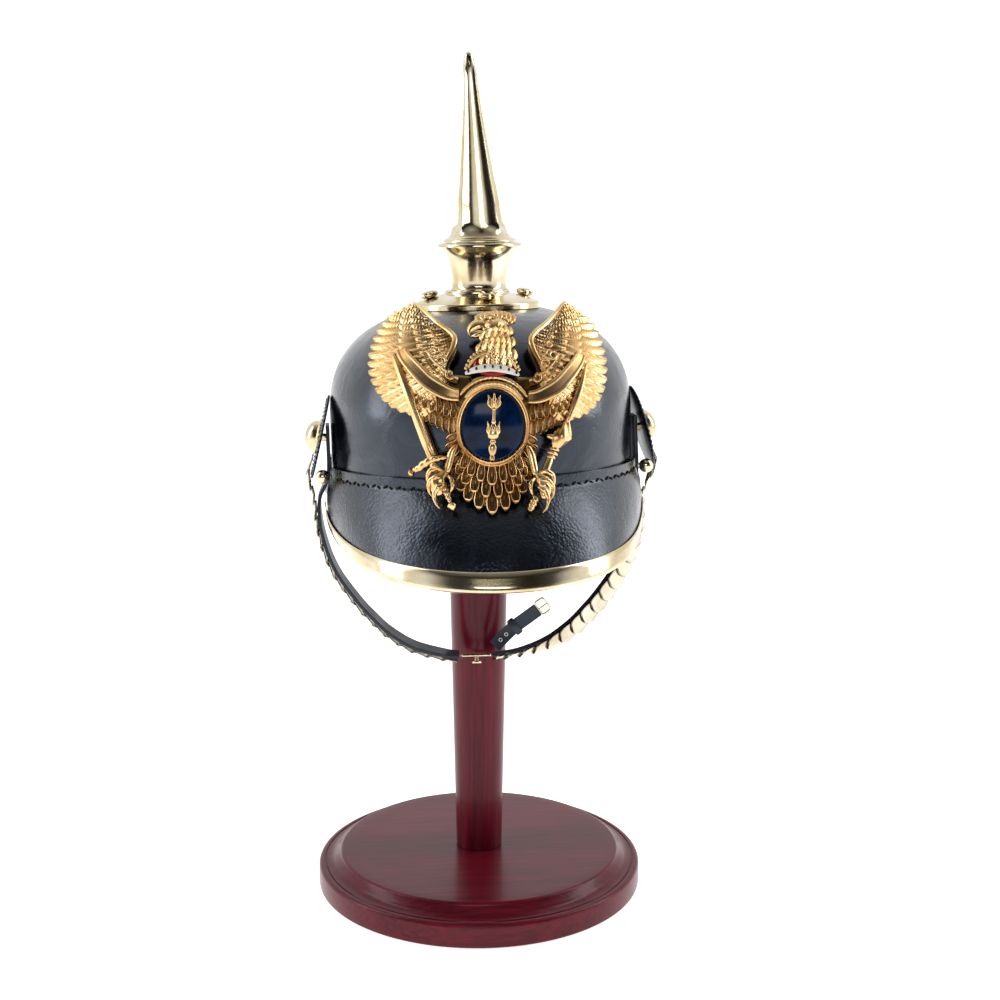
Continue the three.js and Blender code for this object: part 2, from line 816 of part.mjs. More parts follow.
function wingPieces(flip) {
  const band = scroll.map((s) => ({ ...s, x: s.x * flip, edge: scrollRise, ridge: scrollRise + 0.1 }));
  return [fan(wing, flip), relief(band, eaglePoint)];
}

function bodyPieces() {
  const bed = shieldRimShare + bedBorder;
  const oval = [
    [0, 0],
    [0.6, 0],
    [bed, 0],
    [bed, shieldBed],
    [enamelShare, shieldBed],
    [0.5, shieldBed],
    [0, shieldBed],
  ];
  const neck = [
    { x: 0.4, y: 34, half: 7.4, edge: 1.8, ridge: 3.8 },
    { x: 2.4, y: 47, half: 6, edge: 1.8, ridge: 4.4 },
    { x: 2, y: 56, half: 6.4, edge: 1.8, ridge: 4.8 },
    { x: 1.4, y: 62, half: 5, edge: 1.5, ridge: 3.4 },
  ];
  const beak = [
    { x: -2, y: 57, half: 3.4, edge: 1.6, ridge: 4.2 },
    { x: -10, y: 56.2, half: 2.2, edge: 1.2, ridge: 3 },
    { x: -14.4, y: 52.8, half: 0.7, edge: 0.8, ridge: 1.4 },
  ];
  const jaw = [
    { x: -1, y: 52.5, half: 2, edge: 1.2, ridge: 3.2 },
    { x: -9, y: 50.8, half: 0.9, edge: 0.8, ridge: 1.6 },
  ];
  const cap = [
    { x: -1, y: 20.5, half: 9, edge: 2, ridge: 2.3 },
    { x: -1, y: 25.6, half: 14, edge: 2.8, ridge: 4.4 },
    { x: -1, y: 32.5, half: 9.6, edge: 2.4, ridge: 4.6 },
    { x: -1, y: 37.8, half: 3, edge: 1.6, ridge: 2.6 },
  ];
  const crown = [
    { x: 1.6, y: 60.5, half: 8.4, edge: 2.4, ridge: 3.6 },
    { x: 1.9, y: 64, half: 8.6, edge: 2.4, ridge: 3.8 },
    { x: 2.2, y: 71, half: 9.6, edge: 2.4, ridge: 4.4 },
    { x: 2.4, y: 75.5, half: 7, edge: 1.8, ridge: 3.2 },
    { x: 2.4, y: 78.5, half: 2, edge: 1.2, ridge: 1.8 },
  ];
  return [
    ovalBody(oval),
    ...[neck, beak, jaw, cap, crown].map((stations) => relief(stations, eaglePoint)),
  ];
}

// Thigh and claw of one leg
function leg(flip) {
  const stations = [
    { x: 20.4, y: -9, half: 1.6, edge: 1.6, ridge: 2.3 },
    { x: 20, y: -18, half: 3.2, edge: 1.6, ridge: 2.8 },
    { x: 22, y: -25, half: 3, edge: 1.6, ridge: 3.6 },
    { x: 26.4, y: -30.5, half: 3.4, edge: 1.8, ridge: 5 },
    { x: 27, y: -36, half: 3, edge: 1.6, ridge: 4.4 },
    { x: 24, y: -41, half: 1.6, edge: 1, ridge: 2.6 },
  ];
  return relief(stations.map((s) => ({ ...s, x: s.x * flip })), eaglePoint);
}

const sword = {
  blade: [
    { x: -49.5, y: 34, half: 0.8, edge: 3.2, ridge: 3.6 },
    { x: -46.5, y: 26.5, half: 1.9, edge: 3.4, ridge: 4 },
    { x: -38, y: 4.5, half: 2, edge: 2.4, ridge: 3.2 },
    { x: -28.6, y: -19.5, half: 2.2, edge: 1.8, ridge: 3 },
    { x: -20.4, y: -40, half: 1.8, edge: 1.8, ridge: 3 },
    { x: -19.2, y: -43.4, half: 2.6, edge: 1.8, ridge: 3 },
  ],
  guard: [
    { x: -38.4, y: -27, half: 2.6, edge: 1.8, ridge: 3.2 },
    { x: -34.4, y: -24, half: 1.7, edge: 1.8, ridge: 3 },
    { x: -24, y: -16.8, half: 1.9, edge: 1.8, ridge: 3.4 },
  ],
};

const baton = [
  { x: 48.5, y: 30.5, half: 1.6, edge: 3.2, ridge: 3.8 },
  { x: 43.4, y: 16.4, half: 1.8, edge: 2.8, ridge: 3.6 },
  { x: 38.4, y: 2.6, half: 2, edge: 2.4, ridge: 3.4 },
  { x: 35.4, y: -2.4, half: 4.2, edge: 2, ridge: 4 },
  { x: 32.2, y: -9, half: 3.4, edge: 2, ridge: 4.2 },
  { x: 29.6, y: -15.5, half: 2.2, edge: 2, ridge: 3.6 },
  { x: 18.4, y: -42.8, half: 2.6, edge: 1.6, ridge: 2.8 },
];

function eagleGeometry() {
  return join([
    ...bodyPieces(),
    fan(tail, 1),
    ...wingPieces(1),
    ...wingPieces(-1),
    leg(1),
    leg(-1),
    relief(sword.blade, eaglePoint),
    relief(sword.guard, eaglePoint),
    relief(baton, eaglePoint),
  ]);
}

// Blue enamel oval, its brass rim and the gilt sceptre on it
const sceptre = [
  { x: 0, y: -18, half: 1.6 }, { x: 0, y: -15.4, half: 1.1 }, { x: 0, y: -12, half: 2 },
  { x: 0, y: -7.6, half: 1 }, { x: 0, y: -4, half: 2.4 }, { x: 0, y: 0.4, half: 2.8 },
  { x: 0, y: 3.4, half: 0.9 }, { x: 0, y: 7.4, half: 0.9 }, { x: 0, y: 10.6, half: 2.8 },
  { x: 0, y: 15.2, half: 1.1 },
];

function addShield(group) {
  const bed = shieldBed + enamelGap;
  const top = bed + enamelThickness;
  const field = [
    [0, bed],
    [0.5, bed],
    [enamelShare, bed],
    [enamelShare, top - 0.4],
    [0.6, top],
    [0, top + 0.2],
  ];
  const outer = shieldRimShare;
  const crest = bed + shieldRimRise;
  const rim = [[1, bed], [1, crest - 0.5], [mix(1, outer, 0.5), crest], [outer, crest - 0.5], [outer, bed]];
  const seat = top + 0.2 + seatGap;
  const levels = { foot: seat, edge: seat + sceptreRise * 0.5, ridge: seat + sceptreRise };
  const rod = sceptre.map((s) => ({ ...s, ...levels }));
  group.add(
    piece('shield_field', ovalBody(field), 'enamel'),
    piece('shield_rim', ovalBody(rim, true), 'gilt'),
    piece('shield_sceptre', relief(rod, eaglePoint), 'gilt'),
  );
}

// Cockade, leather tab and brass boss on each side, all on the boss's shank
function cockadeFrame(way) {
  const frame = new THREE.Group();
  frame.position.set(way * (shellHalfWidth + cockadeStand), cockadeY, cockadeZ);
  frame.rotation.y = way * (90 - cockadeTilt) * deg;
  frame.updateMatrix();
  return frame;
}

function cockadeGeometry() {
  const sides = cockadeTeeth * 2;
  const bore = bossShank + boreGap;
  const half = cockadeThickness / 2;
  const rows = [
    { r: bore, z: -half, tooth: 0 },
    { r: cockadeRadius, z: -half, tooth: 1 },
    { r: cockadeRadius, z: half, tooth: 1 },
    { r: bore, z: half, tooth: 0 },
  ];
  return skin(rows.map((row) => Array.from({ length: sides }, (_, i) => {
    const turn = (i * 2 * Math.PI) / sides;
    const r = row.r - (i % 2) * row.tooth * cockadeTooth;
    return new THREE.Vector3(r * Math.cos(turn), r * Math.sin(turn), row.z);
  })), true);
}

function bossGeometry() {
  const foot = cockadeThickness / 2 + seatGap;
  return turned([
    [0, -shankReach()],
    [bossShank, -shankReach()],
    [bossShank, foot],
    [bossRadius, foot],
    [bossRadius, foot + 1],
    [bossRadius * 0.9, foot + bossHeight * 0.42],
    [bossRadius * 0.55, foot + bossHeight * 0.86],
    [0, foot + bossHeight],
  ], 12);
}

function shankReach() {
  const tilt = cockadeTilt * deg;
  return cockadeStand / Math.cos(tilt) - bossShank * Math.tan(tilt) - seatGap * 1.5;
}

function addSideFittings(group) {
  [['left', -1], ['right', 1]].forEach(([side, way]) => {
    const frame = cockadeFrame(way);
    frame.add(piece(`cockade_${side}`, cockadeGeometry(), 'blackLacquer'));
    frame.add(piece(`boss_${side}`, bossGeometry(), 'brass'));
    group.add(frame);
  });
}

// A point of the rolled helmet in the upright frame that the strap hangs in
function rolled(p) {
  const pivot = new THREE.Vector3(0, 0, rollPivotZ);
  return p.clone().sub(pivot).applyAxisAngle(new THREE.Vector3(0, 1, 0), -helmetRoll * deg).add(pivot);
}

// The strap's route below the cockade on one side, chosen by hand, as [aside, y, z, twist left, right]
const strapRoute = [
  { x: 96.6, y: -13.4, z: 247, left: 0, right: 18 },
  { x: 95.2, y: -15, z: 233, left: -3, right: 29 },
  { x: 92.8, y: -16.1, z: 221, left: -4, right: 38 },
  { x: 89, y: -17.2, z: 209.5, left: -4, right: 45 },
  { x: 83.2, y: -18.4, z: 198.3, left: -4, right: 50 },
  { x: 72.4, y: -20, z: 183.5, left: -4, right: 53 },
  { x: 64.4, y: -20.8, z: 174.6, left: -4, right: 53 },
  { x: 55, y: -21.7, z: 165.7, left: -4, right: 51 },
  { x: 40.3, y: -23.4, z: 156.8, left: -3, right: 43 },
  { x: 22, y: -25.6, z: 152, left: 0, right: 28 },
];

function strapFrames(points, way, steps) {
  const curve = new THREE.CatmullRomCurve3(points.map((row) => row.p), false, 'centripetal');
  return Array.from({ length: steps + 1 }, (_, i) => {
    const share = i / steps;
    const at = curve.getPoint(share);
    const run = curve.getTangent(share);
    const row = share * (points.length - 1);
    const low = Math.min(points.length - 2, Math.floor(row));
    const twist = mix(points[low].twist, points[low + 1].twist, row - low) * deg;
    const front = new THREE.Vector3(0, -1, 0);
    front.addScaledVector(run, -front.dot(run)).normalize();
    const out = new THREE.Vector3().crossVectors(front, run).multiplyScalar(way);
    const wide = front.clone().multiplyScalar(Math.cos(twist)).addScaledVector(out, -Math.sin(twist));
    const face = out.clone().multiplyScalar(Math.cos(twist)).addScaledVector(front, Math.sin(twist));
    return { at, run, wide, face, share };
  });
}

function hangingPoints(way, end) {
  const rows = strapRoute.map((row) => ({
    p: new THREE.Vector3(way * row.x, row.y, row.z),
    twist: way < 0 ? row.left : row.right,
  }));
  rows.push({ p: new THREE.Vector3(end, -26.4, 151), twist: way < 0 ? 2 : 18 });
  return rows;
}

// Leather strap from its tab under the cockade down to the buckle
function strapGeometry(way) {
  const clear = seatGap + strapThickness + tabClear;
  const top = rolled(new THREE.Vector3(way * (shellHalfWidth + clear), cockadeY, cockadeZ + tabTop));
  const tab = rolled(new THREE.Vector3(way * (shellHalfWidth + clear), cockadeY, cockadeZ));
  const outside = shellHalfWidth + clear + tabSpread;
  const low = rolled(new THREE.Vector3(way * outside, cockadeY - tabSpread, cockadeZ - tabDrop));
  const hanging = hangingPoints(way, buckleAside + way * ((buckleLength + buckleWire) / 2 + endGap));
  hanging[0].p.x -= way * strapTuck;
  const points = [{ p: top, twist: 0 }, { p: tab, twist: 0 }, { p: low, twist: 0 }, ...hanging];
  const half = strapWidth / 2;
  const ribbon = skin(strapFrames(points, way, 30).map(({ at, wide, face }) => {
    const corner = (aside, out) => at.clone().addScaledVector(wide, aside).addScaledVector(face, out);
    return [
      corner(-half, -strapThickness),
      corner(half, -strapThickness),
      corner(half, 0),
      corner(-half, 0),
    ];
  }));
  const [drill, reach] = [bossShank + boreGap, cockadeRadius];
  const hole = turned([[0, -reach], [drill, -reach], [drill, reach], [0, reach]], 12);
  hole.applyMatrix4(cockadeFrame(way).matrix);
  hole.applyMatrix4(new THREE.Matrix4().makeTranslation(0, 0, -rollPivotZ));
  hole.applyMatrix4(new THREE.Matrix4().makeRotationY(-helmetRoll * deg));
  hole.applyMatrix4(new THREE.Matrix4().makeTranslation(0, 0, rollPivotZ));
  return cut(ribbon, [hole]);
}

// Brass scales on the strap, each free edge standing over the next, fused in one run
function scalesGeometry(way) {
  const frame = cockadeFrame(way);
  const onDisc = (down, out) => rolled(new THREE.Vector3(way * down, 0, out).applyMatrix4(frame.matrix));
  const lift = cockadeThickness / 2 + seatGap;
  const points = [
    { p: onDisc(bossRadius + 1, lift), twist: 0 },
    { p: onDisc(cockadeRadius - 2, lift), twist: 0 },
    ...hangingPoints(way, buckleAside + way * ((buckleLength + buckleWire) / 2 + endGap)),
  ];
  const curve = new THREE.CatmullRomCurve3(points.map((row) => row.p), false, 'centripetal');
  const count = Math.round(curve.getLength() / scalePitch);
  const rings = [];
  const frames = strapFrames(points, way, count * scaleSteps);
  const section = ({ at, wide, face }, share, low, high) => {
    const half = (scaleWidth / 2) * share;
    const spot = (aside, out) => (
      at.clone().addScaledVector(wide, aside * half).addScaledVector(face, out + scaleSeat));
    return [spot(-1, 0), spot(1, 0), spot(1, low), spot(0, high), spot(-1, low)];
  };
  for (let i = 0; i < count; i += 1) {
    rings.push(section(frames[scaleSteps * i], scaleWaist, scaleBrass * 0.5, scaleBrass));
    rings.push(section(frames[scaleSteps * (i + 1) - 1], 1, scaleBrass, scaleBrass + scaleProud));
  }
  return skin(rings);
}

// Brass buckle where the two halves of the strap meet, with its bar and hooking stud soldered on
function buckleGeometry() {
  const [long, broad, wire] = [buckleLength / 2, buckleBreadth / 2, buckleWire / 2];
  const outline = new THREE.Shape();
  outline.moveTo(-long - wire, -broad);
  outline.lineTo(long + wire, -broad);
  outline.lineTo(long + wire, broad);
  outline.lineTo(-long - wire, broad);
  outline.closePath();
  const window = new THREE.Path();
  window.moveTo(-long + wire, -broad + 2 * wire);
  window.lineTo(-long + wire, broad - 2 * wire);
  window.lineTo(long - wire, broad - 2 * wire);
  window.lineTo(long - wire, -broad + 2 * wire);
  window.closePath();
  outline.holes.push(window);
  const frame = weldedExtrusion(outline, buckleWire);
  const bar = new THREE.Shape();
  bar.moveTo(-wire, -broad + wire);
  bar.lineTo(wire, -broad + wire);
  bar.lineTo(wire, broad - wire);
  bar.lineTo(-wire, broad - wire);
  bar.closePath();
  const stud = turned([
    [0, wire],
    [buckleStudRadius * 0.4, wire],
    [buckleStudRadius * 0.4, buckleStudReach - 1.6],
    [buckleStudRadius, buckleStudReach - 1.4],
    [buckleStudRadius, buckleStudReach - 0.5],
    [0, buckleStudReach],
  ], 12);
  stud.translate(0, broad - wire * 2, 0);
  return join([frame, weldedExtrusion(bar, buckleWire * 0.8), stud]);
}

function weldedExtrusion(shape, depth) {
  const body = new THREE.ExtrudeGeometry(shape, { depth, bevelEnabled: false });
  body.deleteAttribute('normal');
  body.deleteAttribute('uv');
  body.translate(0, 0, -depth / 2);
  const merged = mergeVertices(body, weld);
  return faceOut(merged);
}

// Free end of the strap, standing up beside the buckle, with its keeper and end frame
const tailRoute = [
  { x: 7.4, y: -29.6, z: 157.6, twist: 62 },
  { x: 12, y: -30, z: 163, twist: 72 },
  { x: 18.4, y: -30.4, z: 169.4, twist: 84 },
  { x: 25.6, y: -30.6, z: 174.8, twist: 88 },
  { x: 32.4, y: -30.8, z: 179.8, twist: 88 },
];

function tailFrames(steps) {
  const points = tailRoute.map((row) => ({ p: new THREE.Vector3(row.x, row.y, row.z), twist: row.twist }));
  return strapFrames(points, 1, steps);
}

function boxSection({ at, wide, face }, halfWide, low, high) {
  const corner = (aside, out) => at.clone().addScaledVector(wide, aside).addScaledVector(face, out);
  return [corner(-halfWide, low), corner(halfWide, low), corner(halfWide, high), corner(-halfWide, high)];
}

function addTail(group) {
  const steps = 16;
  const frames = tailFrames(steps);
  const half = tailWidth / 2;
  const tail = skin(frames.map((frame) => boxSection(frame, half, 0, tailThickness)));
  group.add(piece('strap_tail', tail, 'strapLeather'));
  const middle = frames[steps / 2];
  const sleeve = (grow) => skin([-1, 1].map((way) => {
    const at = middle.at.clone().addScaledVector(middle.run, (way * keeperLength) / 2 * (grow ? 1 : 2));
    return boxSection({ ...middle, at }, half + boreGap + (grow ? keeperThickness : 0),
      -boreGap - (grow ? keeperThickness : 0), tailThickness + boreGap + (grow ? keeperThickness : 0));
  }));
  group.add(piece('tail_keeper', cut(sleeve(true), [sleeve(false)]), 'strapLeather'));
  const end = frames[steps];
  const slab = (inset, from, to, over) => skin([from, to].map((along) => boxSection({
    ...end,
    at: end.at.clone().addScaledVector(end.run, along),
  }, half + 0.6 - inset, -over, tailThickness + over)));
  const wire = buckleWire * 0.8;
  const clear = seatGap;
  group.add(piece('tail_buckle', cut(
    slab(0, clear, clear + tailBuckleLength, 0),
    [slab(wire, clear + wire, clear + tailBuckleLength - wire, 2)],
  ), 'brass'));
}

function addBuckle(group) {
  const buckle = piece('buckle', buckleGeometry(), 'brass');
  buckle.position.set(buckleAside, buckleY, buckleZ);
  buckle.rotation.x = Math.PI - buckleTurn * deg;
  group.add(buckle);
}

function addStrap(group) {
  [['left', -1], ['right', 1]].forEach(([side, way]) => {
    group.add(piece(`chin_strap_${side}`, strapGeometry(way), 'strapLeather'));
    group.add(piece(`chin_scales_${side}`, scalesGeometry(way), 'brass'));
  });
}

const root = new THREE.Group();
addStand(root);

const helmet = new THREE.Group();
helmet.position.set(0, 0, rollPivotZ);
helmet.rotation.y = -helmetRoll * deg;
const onHead = new THREE.Group();
onHead.position.z = -rollPivotZ;
helmet.add(onHead);
root.add(helmet);

onHead.add(piece('shell', shellGeometry(), 'blackLeather'));
onHead.add(piece('front_visor', frontVisorGeometry(), 'blackLeather'));
onHead.add(piece('front_trim', frontTrimGeometry(), 'brass'));
onHead.add(piece('rear_visor', rearVisorGeometry(), 'blackLeather'));
addRivets(onHead);
addSpike(onHead);
onHead.add(piece('eagle', eagleGeometry(), 'gilt'));
addShield(onHead);
addSideFittings(onHead);
addStrap(root);
addBuckle(root);
addTail(root);

export default root;
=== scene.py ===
# Spiked leather parade helmet on a turned wooden stand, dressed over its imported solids.
# Pieces are drawn in millimetres and brought to metres when each one is finished.

import math

import bpy
import numpy as np
from mathutils import Matrix, Vector


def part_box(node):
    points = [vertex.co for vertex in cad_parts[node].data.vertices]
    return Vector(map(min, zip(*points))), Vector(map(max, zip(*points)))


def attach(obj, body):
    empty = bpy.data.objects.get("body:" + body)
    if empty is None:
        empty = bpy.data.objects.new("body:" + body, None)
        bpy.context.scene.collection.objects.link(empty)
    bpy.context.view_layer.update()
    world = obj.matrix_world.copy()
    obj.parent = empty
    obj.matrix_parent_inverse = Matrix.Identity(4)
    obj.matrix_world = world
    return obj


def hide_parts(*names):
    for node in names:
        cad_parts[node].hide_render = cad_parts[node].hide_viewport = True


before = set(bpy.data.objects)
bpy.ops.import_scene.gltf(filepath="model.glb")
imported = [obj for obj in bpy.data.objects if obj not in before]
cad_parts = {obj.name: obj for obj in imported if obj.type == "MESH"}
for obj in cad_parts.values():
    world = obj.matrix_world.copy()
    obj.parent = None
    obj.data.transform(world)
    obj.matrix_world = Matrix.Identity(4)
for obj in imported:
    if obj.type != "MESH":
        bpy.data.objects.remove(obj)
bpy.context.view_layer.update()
mm = 0.001

# ---- camera first
cameraAt = {"position": (-77.8, -889.6, 407.0), "pitch": 79.44, "turn": -5.84, "lens": 54.25}


def addCamera():
    data = bpy.data.cameras.new("camera")
    data.lens = cameraAt["lens"]
    data.sensor_width = 36
    data.clip_start = 0.05
    data.clip_end = 50
    camera = bpy.data.objects.new("camera", data)
    bpy.context.scene.collection.objects.link(camera)
    camera.location = Vector(cameraAt["position"]) * mm
    camera.rotation_euler = (math.radians(cameraAt["pitch"]), 0, math.radians(cameraAt["turn"]))
    bpy.context.scene.camera = camera
    bpy.context.scene.view_settings.view_transform = "Standard"


addCamera()
print("camera set")


# ---- materials
def hexColour(text):
    parts = [int(text[i:i + 2], 16) / 255 for i in (1, 3, 5)]
    linear = [p / 12.92 if p <= 0.04045 else ((p + 0.055) / 1.055) ** 2.4 for p in parts]
    return (*linear, 1.0)


def addNode(tree, kind, settings=None, values=None, links=None):
    made = tree.nodes.new(kind)
    for key, value in (settings or {}).items():
        setattr(made, key, value)
    for key, value in (values or {}).items():
        made.inputs[key].default_value = value
    for key, source in (links or {}).items():
        tree.links.new(source, made.inputs[key])
    return made


def startMaterial(name, values):
    material = bpy.data.materials.new(name)
    material.use_nodes = True
    tree = material.node_tree
    shader = tree.nodes["Principled BSDF"]
    for key, value in values.items():
        shader.inputs[key].default_value = value
    return material, tree, shader


def rampNode(tree, source, stops):
    ramp = addNode(tree, "ShaderNodeValToRGB", links={"Fac": source})
    while len(ramp.color_ramp.elements) < len(stops):
        ramp.color_ramp.elements.new(0.5)
    for element, (position, colour) in zip(ramp.color_ramp.elements, stops):
        element.position = position
        element.color = hexColour(colour) if isinstance(colour, str) else (colour, colour, colour, 1)
    return ramp


# Cowhide, dyed black and lacquered: blue-black gloss, pores about 1 mm across that break the highlights
def glossyLeather(name, grainSize, grainDepth, roughness, foldDepth):
    material, tree, shader = startMaterial(name, {"IOR": 1.6, "Coat Weight": 0.25, "Coat Roughness": 0.16})
    spot = addNode(tree, "ShaderNodeTexCoord").outputs["Object"]
    clouds = addNode(tree, "ShaderNodeTexNoise", values={"Scale": 28, "Detail": 4, "Roughness": 0.6},
                     links={"Vector": spot})
    colour = rampNode(tree, clouds.outputs["Fac"], [(0.3, "#010205"), (0.55, "#03050a"), (0.8, "#070b13")])
    pores = addNode(tree, "ShaderNodeTexVoronoi", {"feature": "SMOOTH_F1"},
                    {"Scale": 1 / (grainSize * mm), "Smoothness": 0.6, "Randomness": 1.0}, {"Vector": spot})
    fine = addNode(tree, "ShaderNodeTexNoise", values={"Scale": 2.2 / (grainSize * mm), "Detail": 3},
                   links={"Vector": spot})
    folds = addNode(tree, "ShaderNodeTexNoise", values={"Scale": 60, "Detail": 3, "Distortion": 0.8},
                    links={"Vector": spot})
    wear = rampNode(tree, folds.outputs["Fac"], [(0.3, roughness - 0.06), (0.7, roughness + 0.1)])
    foldBump = addNode(tree, "ShaderNodeBump", values={"Strength": 0.5, "Distance": foldDepth * mm},
                       links={"Height": folds.outputs["Fac"]})
    poreBump = addNode(tree, "ShaderNodeBump", values={"Strength": 0.6, "Distance": grainDepth * mm},
                       links={"Height": pores.outputs["Distance"], "Normal": foldBump.outputs["Normal"]})
    fineBump = addNode(tree, "ShaderNodeBump", values={"Strength": 0.3, "Distance": grainDepth * 0.5 * mm},
                       links={"Height": fine.outputs["Fac"], "Normal": poreBump.outputs["Normal"]})
    shader.inputs["Specular Tint"].default_value = hexColour("#cfdffb")
    tree.links.new(colour.outputs["Color"], shader.inputs["Base Color"])
    tree.links.new(wear.outputs["Color"], shader.inputs["Roughness"])
    tree.links.new(fineBump.outputs["Normal"], shader.inputs["Normal"])
    return material


# Sheet and cast brass, buffed: pale straw gold with soft clouding; the recesses are mixed towards a dark
# brown, painted shade that is partly real tarnishing where the buff can't reach
def buffedBrass(name, bright, deep, roughness, shadeAndTarnishColour=None):
    material, tree, shader = startMaterial(name, {"Metallic": 1.0})
    spot = addNode(tree, "ShaderNodeTexCoord").outputs["Object"]
    clouds = addNode(tree, "ShaderNodeTexNoise", values={"Scale": 45, "Detail": 5, "Roughness": 0.55},
                     links={"Vector": spot})
    colour = rampNode(tree, clouds.outputs["Fac"], [(0.35, deep), (0.62, bright)])
    streaks = addNode(tree, "ShaderNodeTexNoise", values={"Scale": 900, "Detail": 2}, links={"Vector": spot})
    rough = rampNode(tree, clouds.outputs["Fac"], [(0.3, roughness + 0.08), (0.7, roughness)])
    bump = addNode(tree, "ShaderNodeBump", values={"Strength": 0.12, "Distance": 0.1 * mm},
                   links={"Height": streaks.outputs["Fac"]})
    result = colour.outputs["Color"]
    # painted shade: a per-point attribute darkens the recesses towards the dark brown, partly real
    # tarnishing
    if shadeAndTarnishColour:
        shadeAndTarnish = addNode(tree, "ShaderNodeAttribute", {"attribute_name": "shadeAndTarnish"})
        result = addNode(tree, "ShaderNodeMix", {"data_type": "RGBA"}, {"B": hexColour(shadeAndTarnishColour)},
                         {"Factor": shadeAndTarnish.outputs["Fac"], "A": colour.outputs["Color"]}).outputs["Result"]
    tree.links.new(result, shader.inputs["Base Color"])
    tree.links.new(rough.outputs["Color"], shader.inputs["Roughness"])
    tree.links.new(bump.outputs["Normal"], shader.inputs["Normal"])
    return material


# Glass enamel fired over metal: deep blue, glassy, with lighter clouds where it lies thin
def firedEnamel(name, deep, light):
    material, tree, shader = startMaterial(name, {"IOR": 1.45, "Roughness": 0.14,
                                                  "Specular IOR Level": 0.25})
    spot = addNode(tree, "ShaderNodeTexCoord").outputs["Object"]
    clouds = addNode(tree, "ShaderNodeTexNoise", values={"Scale": 110, "Detail": 6, "Roughness": 0.65},
                     links={"Vector": spot})
    colour = rampNode(tree, clouds.outputs["Fac"], [(0.35, deep), (0.75, light)])
    bump = addNode(tree, "ShaderNodeBump", values={"Strength": 0.15, "Distance": 0.2 * mm},
                   links={"Height": clouds.outputs["Fac"]})
    tree.links.new(colour.outputs["Color"], shader.inputs["Base Color"])
    tree.links.new(bump.outputs["Normal"], shader.inputs["Normal"])
    return material


# Mahogany, stained dark red and polished: fine straight grain with short dark pores under a soft gloss
def polishedMahogany(name, upright):
    material, tree, shader = startMaterial(name, {"IOR": 1.4, "Coat Weight": 0.08, "Coat Roughness": 0.06})
    spot = addNode(tree, "ShaderNodeTexCoord").outputs["Object"]
    squeeze = (1.0, 1.0, 0.05) if upright else (0.05, 1.0, 1.0)
    laid = addNode(tree, "ShaderNodeMapping", values={"Scale": squeeze}, links={"Vector": spot})
    grain = addNode(tree, "ShaderNodeTexNoise", values={"Scale": 520, "Detail": 4, "Roughness": 0.6},
                    links={"Vector": laid.outputs["Vector"]})
    bands = addNode(tree, "ShaderNodeTexNoise", values={"Scale": 70, "Detail": 3},
                    links={"Vector": laid.outputs["Vector"]})
    fine = rampNode(tree, grain.outputs["Fac"], [(0.32, "#26020b"), (0.5, "#560a1b"), (0.72, "#7a1228")])
    wide = rampNode(tree, bands.outputs["Fac"], [(0.3, "#4c0816"), (0.7, "#6c0f22")])
    colour = addNode(tree, "ShaderNodeMix", {"data_type": "RGBA"}, {"Factor": 0.5},
                     {"A": fine.outputs["Color"], "B": wide.outputs["Color"]})
    bump = addNode(tree, "ShaderNodeBump", values={"Strength": 0.12, "Distance": 0.08 * mm},
                   links={"Height": grain.outputs["Fac"]})
    tree.links.new(colour.outputs["Result"], shader.inputs["Base Color"])
    tree.links.new(bump.outputs["Normal"], shader.inputs["Normal"])
    shader.inputs["Roughness"].default_value = 0.3
    shader.inputs["Specular IOR Level"].default_value = 0.28
    return material


# Waxed linen thread, dyed black and matte
def dyedThread(name):
    colour = hexColour("#030304")
    return startMaterial(name, {"Base Color": colour, "Roughness": 0.75, "Specular IOR Level": 0.2})[0]


shellLeather = glossyLeather("lacquered cowhide, smooth", 1.1, 0.06, 0.2, 1.2)
visorLeather = glossyLeather("lacquered cowhide, coarse grain", 1.6, 0.3, 0.24, 1.1)
strapLeather = glossyLeather("dyed strap leather", 0.8, 0.1, 0.55, 0.2)
blackLacquer = glossyLeather("black lacquered tin", 2.4, 0.04, 0.34, 0.1)
waxedThread = dyedThread("waxed linen thread")
# the last colour given to the pale and gilt brass is the dark brown of the painted shade in recesses, partly
# real tarnishing
scaleBrass = buffedBrass("pressed brass, pale", "#dcd3bf", "#bcae93", 0.2, "#2c1d10")
sheetBrass = buffedBrass("spun sheet brass, buffed", "#e2d6ba", "#c8b68c", 0.12)
giltBrass = buffedBrass("cast brass, gilt", "#eaca94", "#d0a469", 0.23, "#4f2e15")
blueEnamel = firedEnamel("blue fired enamel", "#01081c", "#04264e")
redEnamel = firedEnamel("red fired enamel", "#6a0c10", "#a3161a")
whiteEnamel = firedEnamel("white fired enamel", "#d8d2c4", "#efece2")
baseWood = polishedMahogany("stained mahogany, board", False)
postWood = polishedMahogany("stained mahogany, turned post", True)
print("materials made")


# ---- small helpers for meshes
def deselectAll():
    if bpy.context.object and bpy.context.object.mode != "OBJECT":
        bpy.ops.object.mode_set(mode="OBJECT")
    bpy.ops.object.select_all(action="DESELECT")


def startEdit(piece):
    deselectAll()
    bpy.context.view_layer.objects.active = piece
    piece.select_set(True)
    bpy.ops.object.mode_set(mode="EDIT")
    bpy.ops.mesh.select_all(action="SELECT")


def readPoints(piece):
    points = np.empty(len(piece.data.vertices) * 3)
    piece.data.vertices.foreach_get("co", points)
    return points.reshape(-1, 3)


def writePoints(piece, points):
    piece.data.vertices.foreach_set("co", np.asarray(points, np.float32).ravel())
    piece.data.update()


def gridPiece(across, along, place):  # a grid whose u and v run from 0 to 1, bent to shape by place
    deselectAll()
    bpy.ops.mesh.primitive_grid_add(x_subdivisions=across, y_subdivisions=along, size=1)
    piece = bpy.context.object
    flat = readPoints(piece) + 0.5
    writePoints(piece, place(flat[:, 0], flat[:, 1]))
    return piece


